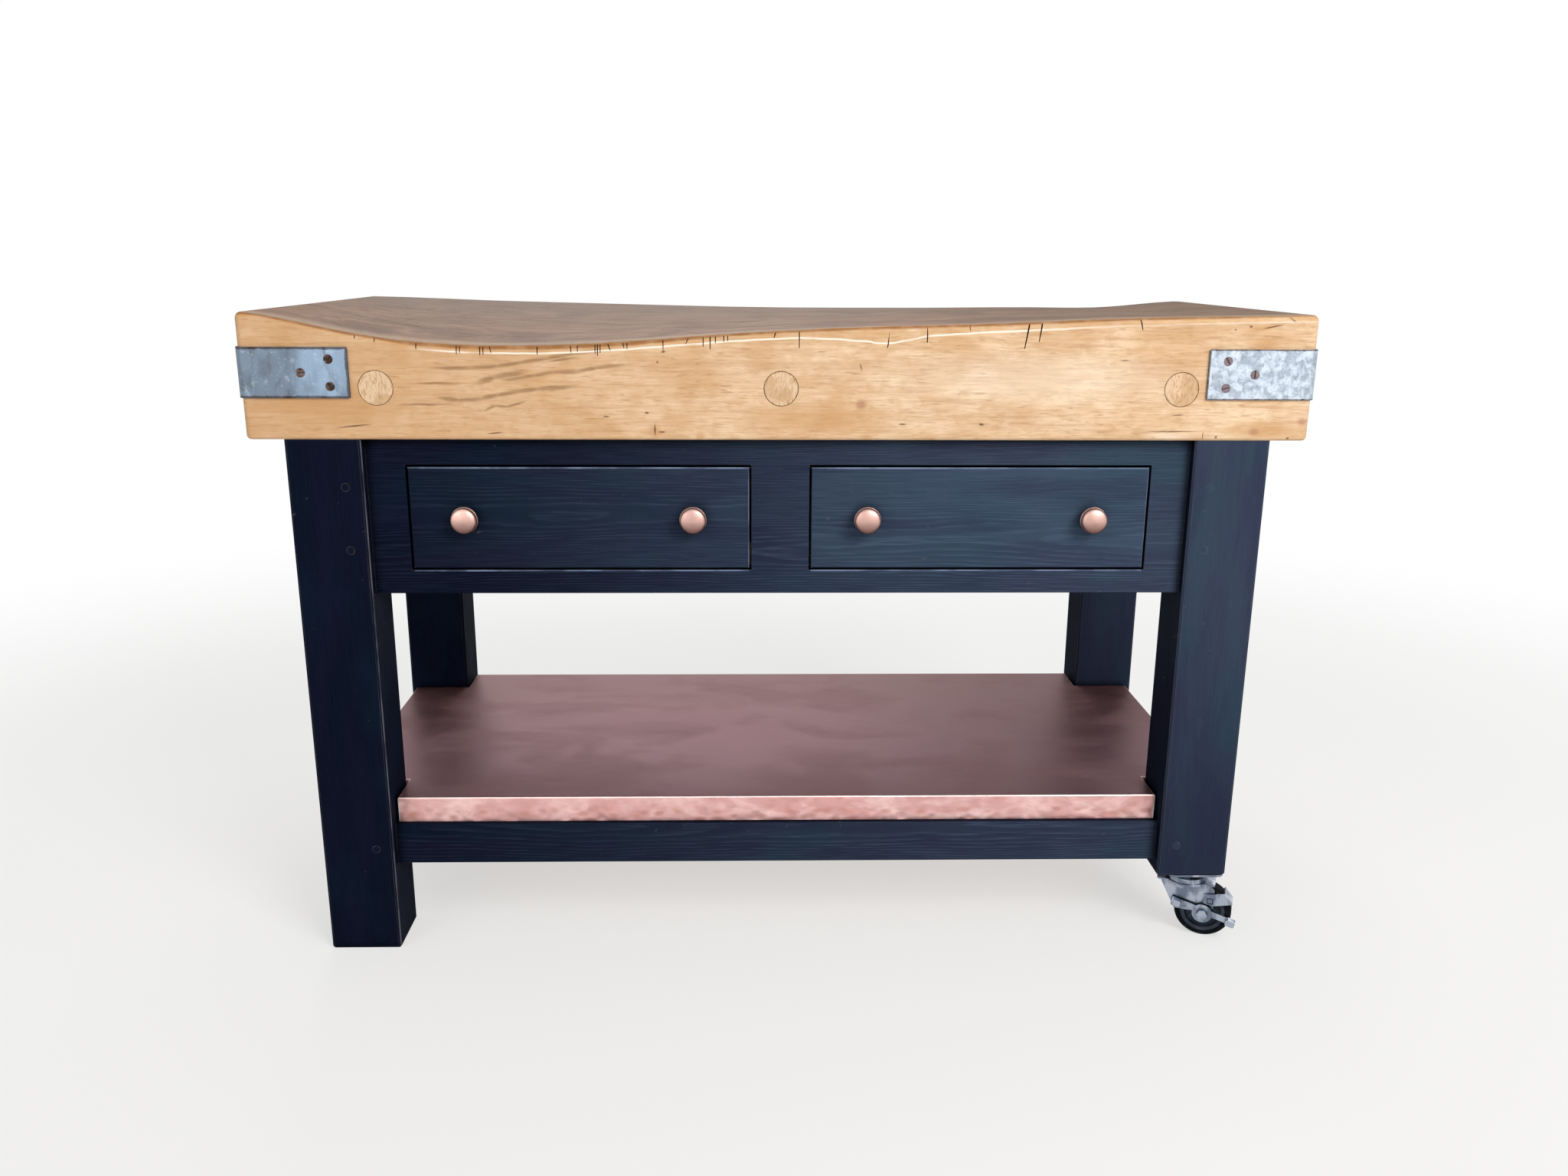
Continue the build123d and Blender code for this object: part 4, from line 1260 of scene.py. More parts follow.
@dataclass(frozen=True, kw_only=True)
class BarePine(Finish):
    """Planed bare softwood, for the drawer boxes, the runners and the shelf core."""

    roughness: float = 0.6
    specular: float = 0.3
    run: GrainRun
    pith: Triple
    light: Colour = tint(226, 190, 140)
    dark: Colour = tint(188, 138, 84)
    grime: Colour = tint(126, 98, 68)
    grain: Grain = Grain(6.0 * MM, 0.04)
    ring_share: float = 0.7
    fleck_share: float = 0.35
    handled: Blotches = Blotches(7.0, 0.3, 0.5, 0.78, share=0.3)
    edges: EdgeWear = EdgeWear(2.5 * MM, 25.0, 0.4, 0.9, share=0.4)

    def paint(self, at: Surface) -> Look:
        """Adds the grain and a little grime along the edges.

        Args:
            at: The material's surface.

        Returns:
            What the nodes give the shader.
        """
        board = at.board_axes(self.run)
        grain = self.grain.put(at, board, pith=self.pith)
        handled = at.times(self.handled.put(at, board)["Mask"], self.handled.share)
        colour = at.coat(
            self.light,
            (self.dark, at.times(grain["Rings"], self.ring_share)),
            (self.dark, at.times(grain["Flecks"], self.fleck_share)),
            (self.grime, at.most([handled, self.edges.on(at)])),
        )
        return Look(colour, grain["Fibre"])


@dataclass(frozen=True, kw_only=True)
class GalvanisedSteel(Finish):
    """Dull zinc-coated plate with stains, scratches and dark rims of dirt and painted shadow.

    The patches are as many times finer as fineness says, and drawn out upwards as smear falls below 1. The
    width of the rims and the reach of the dull corner, from the free end, are in millimetres.
    """

    roughness: float = 0.42
    rough_swing: Span = (0.08, 0.14)
    metallic: float = 0.85
    relief: Span = (0.3, 0.5)
    middle_z: float
    half_height: float
    free_end: Span
    base: Colour
    bright: Colour
    stain: Colour = tint(84, 84, 88)
    bloom: Colour = tint(226, 234, 240)
    # Dirt and painted shadow along the edges of the plates.
    rim: Colour = tint(62, 43, 37)
    fineness: float = 1.0
    smear: float = 0.45
    clouds: Blotches = Blotches(15.0, 0.6, 0.34, 0.66)
    stains: Blotches = Blotches(52.0, 0.4, 0.46, 0.74)
    blooms: Blotches = Blotches(110.0, 0.5, 0.58, 0.76)
    scores: Scratches = Scratches(420.0, 0.68, 0.8, share=0.22)
    dents: Dents = Dents(70.0)
    stain_share: float
    bloom_share: float = 0.4
    corner_reach: Span = (40.0, 90.0)
    corner_dull: float
    corner_bloom: Span = (1.0, 0.5)
    rim_width: float = 2.0
    rim_ragged: float = 1.5
    rim_scale: float = 130.0
    rim_swing: Span = (0.75, 1.0)

    def paint(self, at: Surface) -> Look:
        """Adds the coating, its bloom, its stains and its rims.

        Args:
            at: The material's surface.

        Returns:
            What the nodes give the shader.
        """
        smeared = at.stretch(at.vector, (1.0, 1.0, self.smear))
        cloud, spots, white = [
            layer.put(at, place, scale=layer.scale * self.fineness)["Mask"]
            for layer, place in ((self.clouds, smeared), (self.stains, smeared), (self.blooms, at.vector))
        ]
        reach = [self.free_end[0] + reach * MM for reach in self.corner_reach]
        cornered = at.spread(at.math("ABSOLUTE", at.place["X"]), *reach)
        fewer = at.spread(cornered, 0.0, 1.0, *self.corner_bloom)
        colour = at.coat(
            self.base,
            (self.bright, cloud),
            (self.stain, at.times(spots, self.stain_share)),
            (self.stain, at.times(cornered, self.corner_dull)),
            (self.bloom, at.times(white, fewer, self.bloom_share)),
            (self.bloom, self.scores),
            (self.rim, at.times(self.rims(at), at.spread(spots, 0.0, 1.0, *self.rim_swing))),
        )
        return Look(colour, self.dents.on(at), cloud)

    def rims(self, at: Surface) -> Socket:
        """Finds the dark rims of dirt and painted shadow along the top, the foot and the free ends of the
        plates.

        Args:
            at: The material's surface.

        Returns:
            The mask.
        """
        width = self.rim_width * MM
        ragged = at.stray(at.vector, self.rim_scale, self.rim_ragged * width)
        from_middle = at.math("ABSOLUTE", at.math("SUBTRACT", at.place["Z"], self.middle_z))
        inset = at.math("ADD", from_middle, ragged)
        masks = [at.spread(inset, self.half_height - 2 * width, self.half_height - width)]
        for axis, end in zip(("X", "Y"), self.free_end):
            beyond = at.math("SUBTRACT", at.math("ABSOLUTE", at.place[axis]), ragged)
            masks.append(at.spread(beyond, end + 2 * width, end + width))
        return at.most(masks)


@dataclass(frozen=True, kw_only=True)
class RustySteel(Finish):
    """Plain steel gone brown, for screws, rods and nuts; less so towards the right; with painted shade in the
    screw slots.
    """

    metallic: float = 0.75
    relief: Span = (0.15, 0.4)
    steel: Colour = tint(112, 96, 90)
    rust: Colour = tint(60, 40, 32)
    clean: Colour = tint(150, 136, 142)
    # Painted shade in the screw slots.
    pit: Colour = tint(24, 17, 14)
    rusted: Blotches = Blotches(160.0, 0.6, 0.36, 0.6)
    cleaner: Ramp = Ramp("X", 0.1, 0.5, share=0.55)
    edges: EdgeWear = EdgeWear(0.8 * MM, 90.0, 0.3, 0.8, share=0.5)
    slots: Crevices = Crevices(2.0 * MM, 0.25, 0.7, share=0.9)
    pits: Dents = Dents(700.0)

    def paint(self, at: Surface) -> Look:
        """Adds the rust, its pitting and the painted shade in the slots.

        Args:
            at: The material's surface.

        Returns:
            What the nodes give the shader.
        """
        rust, edges = (self.rust, self.rusted), (self.steel, self.edges)
        colour = at.coat(self.steel, rust, (self.clean, self.cleaner), edges, (self.pit, self.slots))
        return Look(colour, self.pits.on(at))


@dataclass(frozen=True, kw_only=True)
class AgedCopper(Finish):
    """Sheet copper, brown and smudged on top and rubbed pink on its hammered edges, with painted light, shade
    and highlights.

    The reach of the lower edge, from its middle, and of the tinned corners is in millimetres.
    """

    rough_swing: Span = (0.05, 0.08)
    metallic: float = 0.9
    relief: Span = (1.2, 0.5)
    front_reach: float
    front_y: float
    edge_middle: float
    top: Colour = tint(112, 75, 82)
    top_light: Colour = tint(137, 103, 109)
    # Painted light towards the front of the top, and painted shade towards its rear.
    top_rubbed: Colour = tint(152, 116, 124)
    top_rear: Colour = tint(102, 72, 68)
    # Smeared patches, partly painted sheen.
    smudges: Blotches = Blotches(5.5, 0.5, 0.34, 0.7, stretch=(1.0, 1.6, 1.0))
    wipes: Blotches = Blotches(11.0, 0.9, 0.48, 0.75, stretch=(1.0, 4.0, 1.0), share=0.35)
    ripples: Blotches = Blotches(26.0, 1.2, 0.44, 0.72, stretch=(1.0, 2.2, 1.0), share=0.3)
    # Where the painted shade darkens the rear of the top and the painted light lightens its front.
    rear: Ramp = Ramp("Y", -0.12, 0.2, share=0.55)
    front: Ramp = Ramp("Y", 0.05, -0.24, share=0.4)
    edge: Colour = tint(224, 172, 168)
    # Pale patches on the hammered edges: rubbed copper, and partly painted highlights.
    edge_light: Colour = tint(255, 218, 214)
    edge_dim: Colour = tint(200, 140, 126)
    patches: Blotches = Blotches(34.0, 0.7, 0.36, 0.68, stretch=(0.5, 0.5, 1.0), share=0.8)
    specks: Blotches = Blotches(90.0, 0.9, 0.56, 0.74, stretch=(0.5, 0.5, 1.0), share=0.3)
    # Painted shade in the hammer dents, most on the lower half of the edges.
    dimples: Dents = Dents(52.0, stretch=(1.0, 1.0, 1.9))
    dimple_cut: Span = (0.9, 0.1)
    dimple_share: float = 0.6
    lower_reach: Span = (5.0, -6.0)
    upper_share: float = 0.25
    # Painted highlight along the fold at the top of the edges.
    arris: Colour = tint(255, 236, 230)
    fold_foot: Facing = Facing("Z", 0.25, 0.5)
    fold_head: Facing = Facing("Z", 0.97, 0.86)
    fold_share: float = 0.85
    tin: Colour = tint(214, 218, 228)
    tin_reach: Span = (5.0, 4.0)
    tin_depth: Span = (3.0, 1.5)
    hammering: Dents = Dents(75.0, stretch=(1.0, 1.0, 0.7))
    flat_height: Span = (1.0, 0.1)

    def paint(self, at: Surface) -> Look:
        """Adds the smudged top, the pink edge, the painted highlight along the fold and the tinned corners.

        Args:
            at: The material's surface.

        Returns:
            What the nodes give the shader.
        """
        smudge, flat = self.smudges.on(at), FACING_UP.on(at)
        # Painted highlight along the fold.
        fold = at.times(self.fold_foot.on(at), self.fold_head.on(at), self.fold_share)
        sideways = at.spread(
            at.math("ABSOLUTE", at.place["X"]), *[self.front_reach - reach * MM for reach in self.tin_reach]
        )
        forward = Ramp("Y", *[self.front_y + depth * MM for depth in self.tin_depth]).on(at)
        colour = at.mix(flat, self.edge_colour(at), self.top_colour(at, smudge))
        colour = at.coat(colour, (self.arris, fold), (self.tin, at.times(sideways, forward)))
        height = at.times(self.hammering.on(at), at.spread(flat, 0.0, 1.0, *self.flat_height))
        return Look(colour, height, smudge)

    def top_colour(self, at: Surface, smudge: Socket) -> Socket:
        """Gives the colour of the top, with painted light towards its front and painted shade towards its rear.

        Args:
            at: The material's surface.
            smudge: The mask of the smeared patches, partly painted sheen.

        Returns:
            The colour.
        """
        return at.coat(
            self.top,
            (self.top_light, smudge),
            (self.top, self.wipes),
            (self.top, self.ripples),
            (self.top_rear, self.rear),
            (self.top_rubbed, self.front),
        )

    def edge_colour(self, at: Surface) -> Socket:
        """Gives the colour of the hammered edges, with painted shade in their dents and pale patches that are
        partly painted highlights.

        Args:
            at: The material's surface.

        Returns:
            The colour.
        """
        heights = [self.edge_middle + reach * MM for reach in self.lower_reach]
        lower = Ramp("Z", *heights, start=self.upper_share, share=self.dimple_share)
        # Painted shade in the dents, most low down.
        sunk = at.times(at.spread(self.dimples.on(at), *self.dimple_cut), lower.on(at))
        light, dim = (self.edge_light, self.patches), (self.edge_dim, self.specks)
        return at.coat(self.edge, light, dim, (self.edge_dim, sunk))


@dataclass(frozen=True, kw_only=True)
class KnobCopper(Finish):
    """Turned copper, satin brushed and blotched with oxide, with painted shade in its groove, on its lower and
    right-facing sides and on the knobs further right.
    """

    roughness: float = 0.44
    rough_reach: Span = (0.3, 0.7)
    rough_swing: Span = (0.06, 0.08)
    metallic: float = 1.0
    relief: Span = (0.05, 0.4)
    light: Colour = tint(232, 190, 178)
    dark: Colour = tint(112, 78, 74)
    # Painted shade in the groove.
    groove: Colour = tint(70, 44, 40)
    # Oxide blotches, then painted shade on the lower and right-facing sides and on the knobs further right.
    tarnish: tuple[Mask, ...] = (
        Blotches(34.0, 0.8, 0.36, 0.66, share=0.3),
        Facing("Z", 0.3, -0.45, share=0.9),
        Facing("X", 0.1, 0.7, share=0.5),
        Ramp("X", -0.35, -0.25, share=0.3),
    )
    recess: Crevices = Crevices(2.0 * MM, 0.3, 0.75, share=0.8)
    brush_scale: float = 1500.0
    brush_stretch: Triple = (0.05, 1.0, 1.0)

    def paint(self, at: Surface) -> Look:
        """Adds the brushing, the oxide blotches and the painted shade.

        Args:
            at: The material's surface.

        Returns:
            What the nodes give the shader.
        """
        tarnish_and_shade_mask = at.most([mask.on(at) for mask in self.tarnish])
        brushed = at.noise(at.stretch(at.vector, self.brush_stretch), self.brush_scale)
        return Look(at.coat(self.light, (self.dark, tarnish_and_shade_mask), (self.groove, self.recess)), brushed, brushed)


@dataclass(frozen=True, kw_only=True)
class ZincPlate(Finish):
    """Bright zinc plating with smeared patches that are partly painted reflections, and painted shade
    underneath, on its left-facing sides and in its recesses, for the casters.
    """

    roughness: float = 0.2
    rough_swing: Span = (0.06, 0.1)
    metallic: float = 1.0
    relief: Span = (0.05, 0.4)
    light: Colour = tint(216, 225, 238)
    dark: Colour = tint(76, 89, 110)
    # Painted shade in the recesses.
    seam: Colour = tint(20, 22, 28)
    # Smeared patches drawn out upright, partly painted reflections.
    smudges: Blotches = Blotches(36.0, 0.5, 0.32, 0.58, stretch=(1.0, 1.0, 0.5))
    smudge_share: float = 0.85
    # Painted shade on faces turned down and to the left.
    shaded: tuple[Mask, ...] = (Facing("Z", 0.5, -0.5, share=0.85), Facing("X", 0.1, -0.9, share=0.75))
    recess: Crevices = Crevices(14.0 * MM, 0.2, 0.7, share=0.9)
    peel: Dents = Dents(500.0)

    def paint(self, at: Surface) -> Look:
        """Adds the smeared patches and painted reflections, the painted shade underneath, on the left and in
        the recesses, and a fine orange peel.

        Args:
            at: The material's surface.

        Returns:
            What the nodes give the shader.
        """
        smudge = self.smudges.on(at)
        sheen_and_shade = at.most([at.times(smudge, self.smudge_share), *[mask.on(at) for mask in self.shaded]])
        colour = at.coat(self.light, (self.dark, sheen_and_shade), (self.seam, self.recess))
        return Look(colour, self.peel.on(at), smudge)


@dataclass(frozen=True, kw_only=True)
class Moulded(Finish):
    """Moulded rubber or nylon with a scuffed, dusty skin."""

    relief: Span = (0.08, 0.4)
    skin: Colour
    scuff: Colour
    dust: Blotches = Blotches(90.0, 0.6, 0.45, 0.7, share=0.4)
    scores: Scratches = Scratches(500.0, 0.66, 0.78, share=0.4)
    pebbles: Dents = Dents(900.0)

    def paint(self, at: Surface) -> Look:
        """Adds the scuffs and a pebbled skin."""
        worn = at.most([self.dust.on(at), self.scores.on(at)])
        return Look(at.coat(self.skin, (self.scuff, worn)), self.pebbles.on(at))


@dataclass(frozen=True, kw_only=True)
class KnifeCut(Finish):
    """The inside of a knife cut, painted very dark brown."""

    roughness: float = 0.8
    specular: float = 0.2
    light: Colour = tint(92, 58, 36)
    dark: Colour = tint(40, 24, 16)
    torn: Blotches = Blotches(180.0, 0.4, 0.4, 0.7)

    def paint(self, at: Surface) -> Look:
        """Adds the uneven dark wood."""
        return Look(at.coat(self.dark, (self.light, self.torn)))


def wear(node: str, finish: Finish) -> None:
    """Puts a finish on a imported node.

    Args:
        node: The node's name.
        finish: The finish.
    """
    shown = bpy.data.objects[node]
    if not shown.material_slots:
        shown.data.materials.append(None)
    for slot in shown.material_slots:
        slot.link = "OBJECT"
        slot.material = finish.material()
    LOG.info("%s wears %s", node, finish.name)


def wear_all(nodes: Iterable[str], finish: Finish) -> None:
    """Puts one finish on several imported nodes."""
    for node in nodes:
        wear(node, finish)


def pith_beside(node: str, run: GrainRun) -> Triple:
    """Finds a place for the heart of the tree that a board was cut from.

    Args:
        node: The board's node.
        run: The way that its grain runs.

    Returns:
        The place, in the board's own order of axes.
    """
    low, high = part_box(node)
    middle = run.turn((low + high) / 2)
    draw = random.Random(node)
    return (0.0, middle.y + draw.uniform(*PITH_ACROSS), middle.z + draw.uniform(*PITH_THROUGH))


def stained(node: str, run: GrainRun) -> StainedPine:
    """Makes the stained finish of one board."""
    return StainedPine(name=f"stained_{node}", run=run, pith=pith_beside(node, run))


def bare(node: str, run: GrainRun) -> BarePine:
    """Makes the bare finish of one board."""
    return BarePine(name=f"bare_{node}", run=run, pith=pith_beside(node, run))


def new_piece(name: str, mesh: bpy.types.Mesh) -> bpy.types.Object:
    """Adds a mesh to the scene as a piece.

    Args:
        name: The piece's name.
        mesh: The mesh.

    Returns:
        The piece.
    """
    piece = bpy.data.objects.new(name, mesh)
    bpy.context.scene.collection.objects.link(piece)
    return piece


@contextmanager
def opened(mesh: bpy.types.Mesh) -> Iterator[bmesh.types.BMesh]:
    """Opens a mesh as a shape and puts the changed shape back.

    Args:
        mesh: The mesh.

    Yields:
        The shape.
    """
    shape = bmesh.new()
    shape.from_mesh(mesh)
    yield shape
    shape.to_mesh(mesh)
    shape.free()


def parts_of(faces: Iterable[bmesh.types.BMFace]) -> list[ShapePart]:
    """Gives faces with their edges and corners, each once."""
    return list({item for face in faces for item in (face, *face.edges, *face.verts)})


def round_turn(count: int) -> list[float]:
    """Gives angles at even steps round a circle, in radians."""
    return [2 * math.pi * step / count for step in range(count)]


def copy_mesh(node: str, *finishes: Finish) -> bpy.types.Mesh:
    """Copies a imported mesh, with its corners joined, without its stored normals and with finishes of its own.

    Args:
        node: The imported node.
        *finishes: The copy's finishes.

    Returns:
        The copy.
    """
    mesh = bpy.data.objects[node].data.copy()
    with opened(mesh) as shape:
        bmesh.ops.remove_doubles(shape, verts=shape.verts, dist=WELD_REACH)
    for stored in ("custom_normal", "sharp_edge", "sharp_face"):
        if stored in mesh.attributes:
            mesh.attributes.remove(mesh.attributes[stored])
    mesh.materials.clear()
    for finish in finishes:
        mesh.materials.append(finish.material())
    return mesh


def carve(piece: bpy.types.Object, cutter: bpy.types.Object) -> None:
    """Cuts a piece with a cutter, which is then thrown away.

    Args:
        piece: The piece.
        cutter: The cutter.
    """
    cut = piece.modifiers.new("cut", "BOOLEAN")
    cut.object = cutter
    cut.operation = "DIFFERENCE"
    cut.solver = "EXACT"
    cut.material_mode = "INDEX"
    evaluated = piece.evaluated_get(bpy.context.evaluated_depsgraph_get())
    carved = bpy.data.meshes.new_from_object(evaluated)
    piece.modifiers.clear()
    piece.data = carved
    bpy.data.objects.remove(cutter)


def add_prism(shape: bmesh.types.BMesh, rows: Sequence[Sequence[Vector]], material: int) -> None:
    """Adds a closed run of rings to a shape.

    Args:
        shape: The shape.
        rows: The corners of each ring, in the same order.
        material: The place of the material on its faces.
    """
    rings = [[shape.verts.new(corner) for corner in row] for row in rows]
    faces = [shape.faces.new(rings[0]), shape.faces.new(rings[-1])]
    for ring, after in zip(rings, rings[1:]):
        for side in range(len(ring)):
            corner = (side + 1) % len(ring)
            faces.append(shape.faces.new((ring[side], ring[corner], after[corner], after[side])))
    for face in faces:
        face.material_index = material
    bmesh.ops.recalc_face_normals(shape, faces=faces)


def shape_piece(name: str, shape: bmesh.types.BMesh) -> bpy.types.Object:
    """Adds a finished shape to the scene as a piece.

    Args:
        name: The piece's name.
        shape: The shape, which is then let go.

    Returns:
        The piece.
    """
    mesh = bpy.data.meshes.new(name)
    shape.to_mesh(mesh)
    shape.free()
    return new_piece(name, mesh)


def ease_between(stations: Sequence[Span], place: float) -> float:
    """Reads a value that eases from station to station.

    Args:
        stations: Places, in rising order, each with its value.
        place: Where the value is read.

    Returns:
        The value.
    """
    for (start, before), (end, after) in zip(stations, stations[1:]):
        if place <= end:
            share = max((place - start) / (end - start), 0.0)
            return before + (after - before) * share * share * (3 - 2 * share)
    return stations[-1][1]


def shade_smooth(piece: bpy.types.Object, angle: float = SHARP_ANGLE) -> None:
    """Smooths a piece, apart from its sharp edges.

    Args:
        piece: The piece.
        angle: The angle in degrees above which an edge stays sharp.
    """
    piece.data.polygons.foreach_set("use_smooth", [True] * len(piece.data.polygons))
    piece.data.set_sharp_from_angle(angle=math.radians(angle))
    even = piece.modifiers.new("even_normals", "WEIGHTED_NORMAL")
    even.keep_sharp = True


@dataclass
class ChoppingBlock:
    """The block of glued staves, with its plates, screws, plugs and rods; lengths in millimetres."""

    stave_count: int = 8
    worn_drop: tuple[Span, ...] = (
        (-690.0, 6.0), (-520.0, 6.5), (-440.0, 8.5), (-280.0, 9.5), (-50.0, 8.6), (20.0, 9.0),
        (60.0, 11.0), (105.0, 15.8), (136.0, 19.3), (165.0, 14.8), (195.0, 11.2), (250.0, 9.8),
        (430.0, 8.5), (690.0, 7.0),
    )
    strip_drop: tuple[Span, ...] = (
        (-690.0, 2.6), (-520.0, 3.4), (-450.0, 5.6), (-200.0, 6.0), (-60.0, 3.6), (60.0, 3.0),
        (300.0, 3.4), (560.0, 2.8), (690.0, 1.0),
    )
    scallop: Span = (40.0, 240.0)
    scallop_step: float = 3.0
    scallop_share: float = 0.62
    scallop_margin: float = 12.0
    scallop_cut: float = 30.0
    line_step: float = 20.0
    edge_inset: float = 12.0
    probe_rise: float = 100.0
    nick_depth: float = 9.0
    nick_foot: float = 0.1
    nick_drop: float = 2.5
    nick_proud: float = 2.0
    corner_reach: Triple = (130.0, 75.0, 45.0)
    corner_drop: float = 3.0
    corner_cuts: int = 14
    nicks: tuple[Nick, ...] = tuple(
        Nick(*row)
        for row in (
            (-537.0, 858.0), (-512.4, 853.8), (-460.8, 845.3), (-410.2, 839.1), (-406.2, 840.6),
            (-380.8, 838.2, 0.0, 2.2), (-376.8, 838.8), (-368.7, 841.0, 2.0), (-308.7, 839.3, 0.0, 2.2),
            (-266.8, 841.5, 1.0), (-257.9, 842.5), (-235.7, 840.0), (-232.6, 837.9, 0.0, 2.2),
            (-229.2, 841.5), (-219.4, 844.5, 3.0, 2.2), (-200.4, 847.0, 1.5), (-195.2, 846.0),
            (-149.7, 845.0), (-117.9, 853.0, -3.0), (-99.0, 849.6), (-90.2, 846.4, 0.0, 2.2),
            (-83.5, 854.0), (-72.8, 855.5), (-67.9, 856.5), (-7.5, 860.4, -2.0, 2.2),
            (22.7, 848.0, 0.0, 2.0), (138.1, 848.6, -3.3, 2.7), (185.5, 855.2, -0.5, 2.5),
            (314.4, 847.9, -5.0, 2.7), (330.6, 856.8, -3.0, 2.5), (456.0, 871.7, 3.0, 2.3),
        )
    )
    streaks: tuple[Streak, ...] = (
        Streak(
            4.0,
            (
                (-432, 822.5), (-393, 822), (-360, 825), (-330, 829),
                (-298, 834.5), (-261, 841), (-222, 846),
            ),
        ),
        Streak(2.6, ((-290, 831.5), (-267, 834.6))),
        Streak(6.0, ((-383, 805), (-365, 810.5), (-334, 816))),
        Streak(3.6, ((-345, 808.5), (-313, 813), (-290, 817), (-260, 818), (-235, 822.5), (-205, 826))),
        Streak(
            4.4,
            (
                (-431, 784.5), (-411, 781.5), (-382, 783.6), (-362, 788),
                (-335, 793), (-309, 796), (-272, 798.5),
            ),
        ),
        Streak(2.6, ((-475, 775.7), (-430, 776.2))),
        Streak(2.6, ((-376, 769.5), (-365, 775), (-350, 773.7), (-331, 779))),
        Streak(2.4, ((-455, 803), (-415, 803))),
    )
    marks: tuple[Mark, ...] = tuple(Mark(kind, *row) for kind, rows in MARK_ROWS.items() for row in rows)

    def build(self) -> None:
        """Cuts the worn scallop and the knife nicks into a copy of the front stave."""
        packed = bpy.data.objects["front_stave"]
        surface = BVHTree.FromObject(packed, bpy.context.evaluated_depsgraph_get())
        mesh = copy_mesh("front_stave", self.front_finish(surface), KnifeCut(name="knife_cut"))
        stave = new_piece("front_stave_worn", mesh)
        carve(stave, self.scallop_cutter(surface))
        carve(stave, self.nick_cutter(surface))
        shade_smooth(stave)
        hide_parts("front_stave")
        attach(stave, "frame")
        wear("front_stave", self.front_finish(surface))
        LOG.info("front_stave_worn has %d faces", len(stave.data.polygons))
        self.round_rear_corner()

    def round_rear_corner(self) -> None:
        """Wears the rear right corner of a copy of the rear stave to a soft hump."""
        mesh = copy_mesh("rear_stave", self.plain_finish())
        with opened(mesh) as shape:
            self.wear_corner(shape)
        stave = new_piece("rear_stave_worn", mesh)
        shade_smooth(stave)
        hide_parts("rear_stave")
        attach(stave, "frame")
        LOG.info("rear_stave_worn has %d faces", len(stave.data.polygons))

    def wear_corner(self, shape: bmesh.types.BMesh) -> None:
        """Divides the top of the corner finely and lowers it, most at the corner itself.

        Args:
            shape: The stave.
        """
        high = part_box("rear_stave")[1]
        reach = Vector(self.corner_reach) * MM
        for axis in (Vector((1, 0, 0)), Vector((0, 1, 0))):
            start = (high - reach).dot(axis)
            for step in range(self.corner_cuts):
                near = [
                    face
                    for face in shape.faces
                    if max((vert.co - high + reach).x for vert in face.verts) > 0
                    and max((vert.co - high + reach).z for vert in face.verts) > 0
                ]
                point = axis * (start + reach.dot(axis) * step / self.corner_cuts)
                where = {"plane_co": point, "plane_no": axis}
                bmesh.ops.bisect_plane(shape, geom=parts_of(near), dist=CUT_REACH, **where)
        for vert in shape.verts:
            away = [gap / span for gap, span in zip(high - vert.co, reach)]
            aside = math.hypot(away[0], away[1])
            if aside < 1 and away[2] < 1:
                vert.co.z -= self.corner_drop * MM * (1 - aside) ** 2 * (1 - max(away[2], 0.0))

    def stave_pitch(self) -> float:
        """Gives the distance from stave to stave."""
        return (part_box("rear_stave")[1].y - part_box("front_stave")[0].y) / self.stave_count

    def front_finish(self, surface: BVHTree) -> OiledMaple:
        """Makes the finish of the front stave, with its marks and its worn edge.

        Args:
            surface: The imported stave.

        Returns:
            The finish.
        """
        veins = [mark for streak in self.streaks for mark in streak.marks()]
        return OiledMaple(
            name="oiled_maple_front",
            stave_pitch=self.stave_pitch(),
            marks=self.marks + tuple(veins),
            worn_line=self.line_below_edge(surface, self.worn_drop),
            strip_line=self.line_below_edge(surface, self.strip_drop),
        )

    def line_below_edge(self, surface: BVHTree, drops: Sequence[Span]) -> tuple[Span, ...]:
        """Follows the front edge at a changing distance below it.

        Args:
            surface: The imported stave.
            drops: Places along the block, each with the distance below the edge, in millimetres.

        Returns:
            Evenly spaced places along the block, each with the line's height, in metres.
        """
        first, last = drops[0][0], drops[-1][0]
        count = round((last - first) / self.line_step)
        places = [first + (last - first) * step / count for step in range(count + 1)]
        return tuple((x * MM, self.edge_height(surface, x) - ease_between(drops, x) * MM) for x in places)

    def plain_finish(self) -> OiledMaple:
        """Makes the finish of the staves that have no marks of their own."""
        return OiledMaple(name="oiled_maple", stave_pitch=self.stave_pitch())

    def dress(self) -> None:
        """Puts the finishes on the staves, the plates and what holds them."""
        wear_all(("inner_staves", "rear_stave"), self.plain_finish())
        self.dress_plugs()
        low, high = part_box("front_right_corner_plate")
        shape = {
            "middle_z": (low.z + high.z) / 2,
            "half_height": (high.z - low.z) / 2,
            "free_end": (low.x, -high.y),
        }
        left = GalvanisedSteel(
            name="galvanised_left",
            **shape,
            base=tint(80, 94, 110),
            bright=tint(154, 176, 198),
            stain_share=0.7,
            corner_dull=0.42,
        )
        right = GalvanisedSteel(
            name="galvanised_right",
            **shape,
            base=tint(171, 183, 195),
            bright=tint(204, 214, 225),
            stain_share=0.36,
            corner_dull=0.0,
            fineness=7.5,
            bloom_share=0.6,
            smear=0.9,
            rim_width=1.1,
        )
        wear_all(("front_left_corner_plate", "rear_left_corner_plate"), left)
        wear_all(("front_right_corner_plate", "rear_right_corner_plate"), right)
        rusty = RustySteel(name="rusty_steel")
        wear_all(("corner_plate_screws", "tie_rods", "tie_rod_nuts"), rusty)
        wear("locating_dowels", bare("locating_dowels", GrainRun.ALONG_Z))

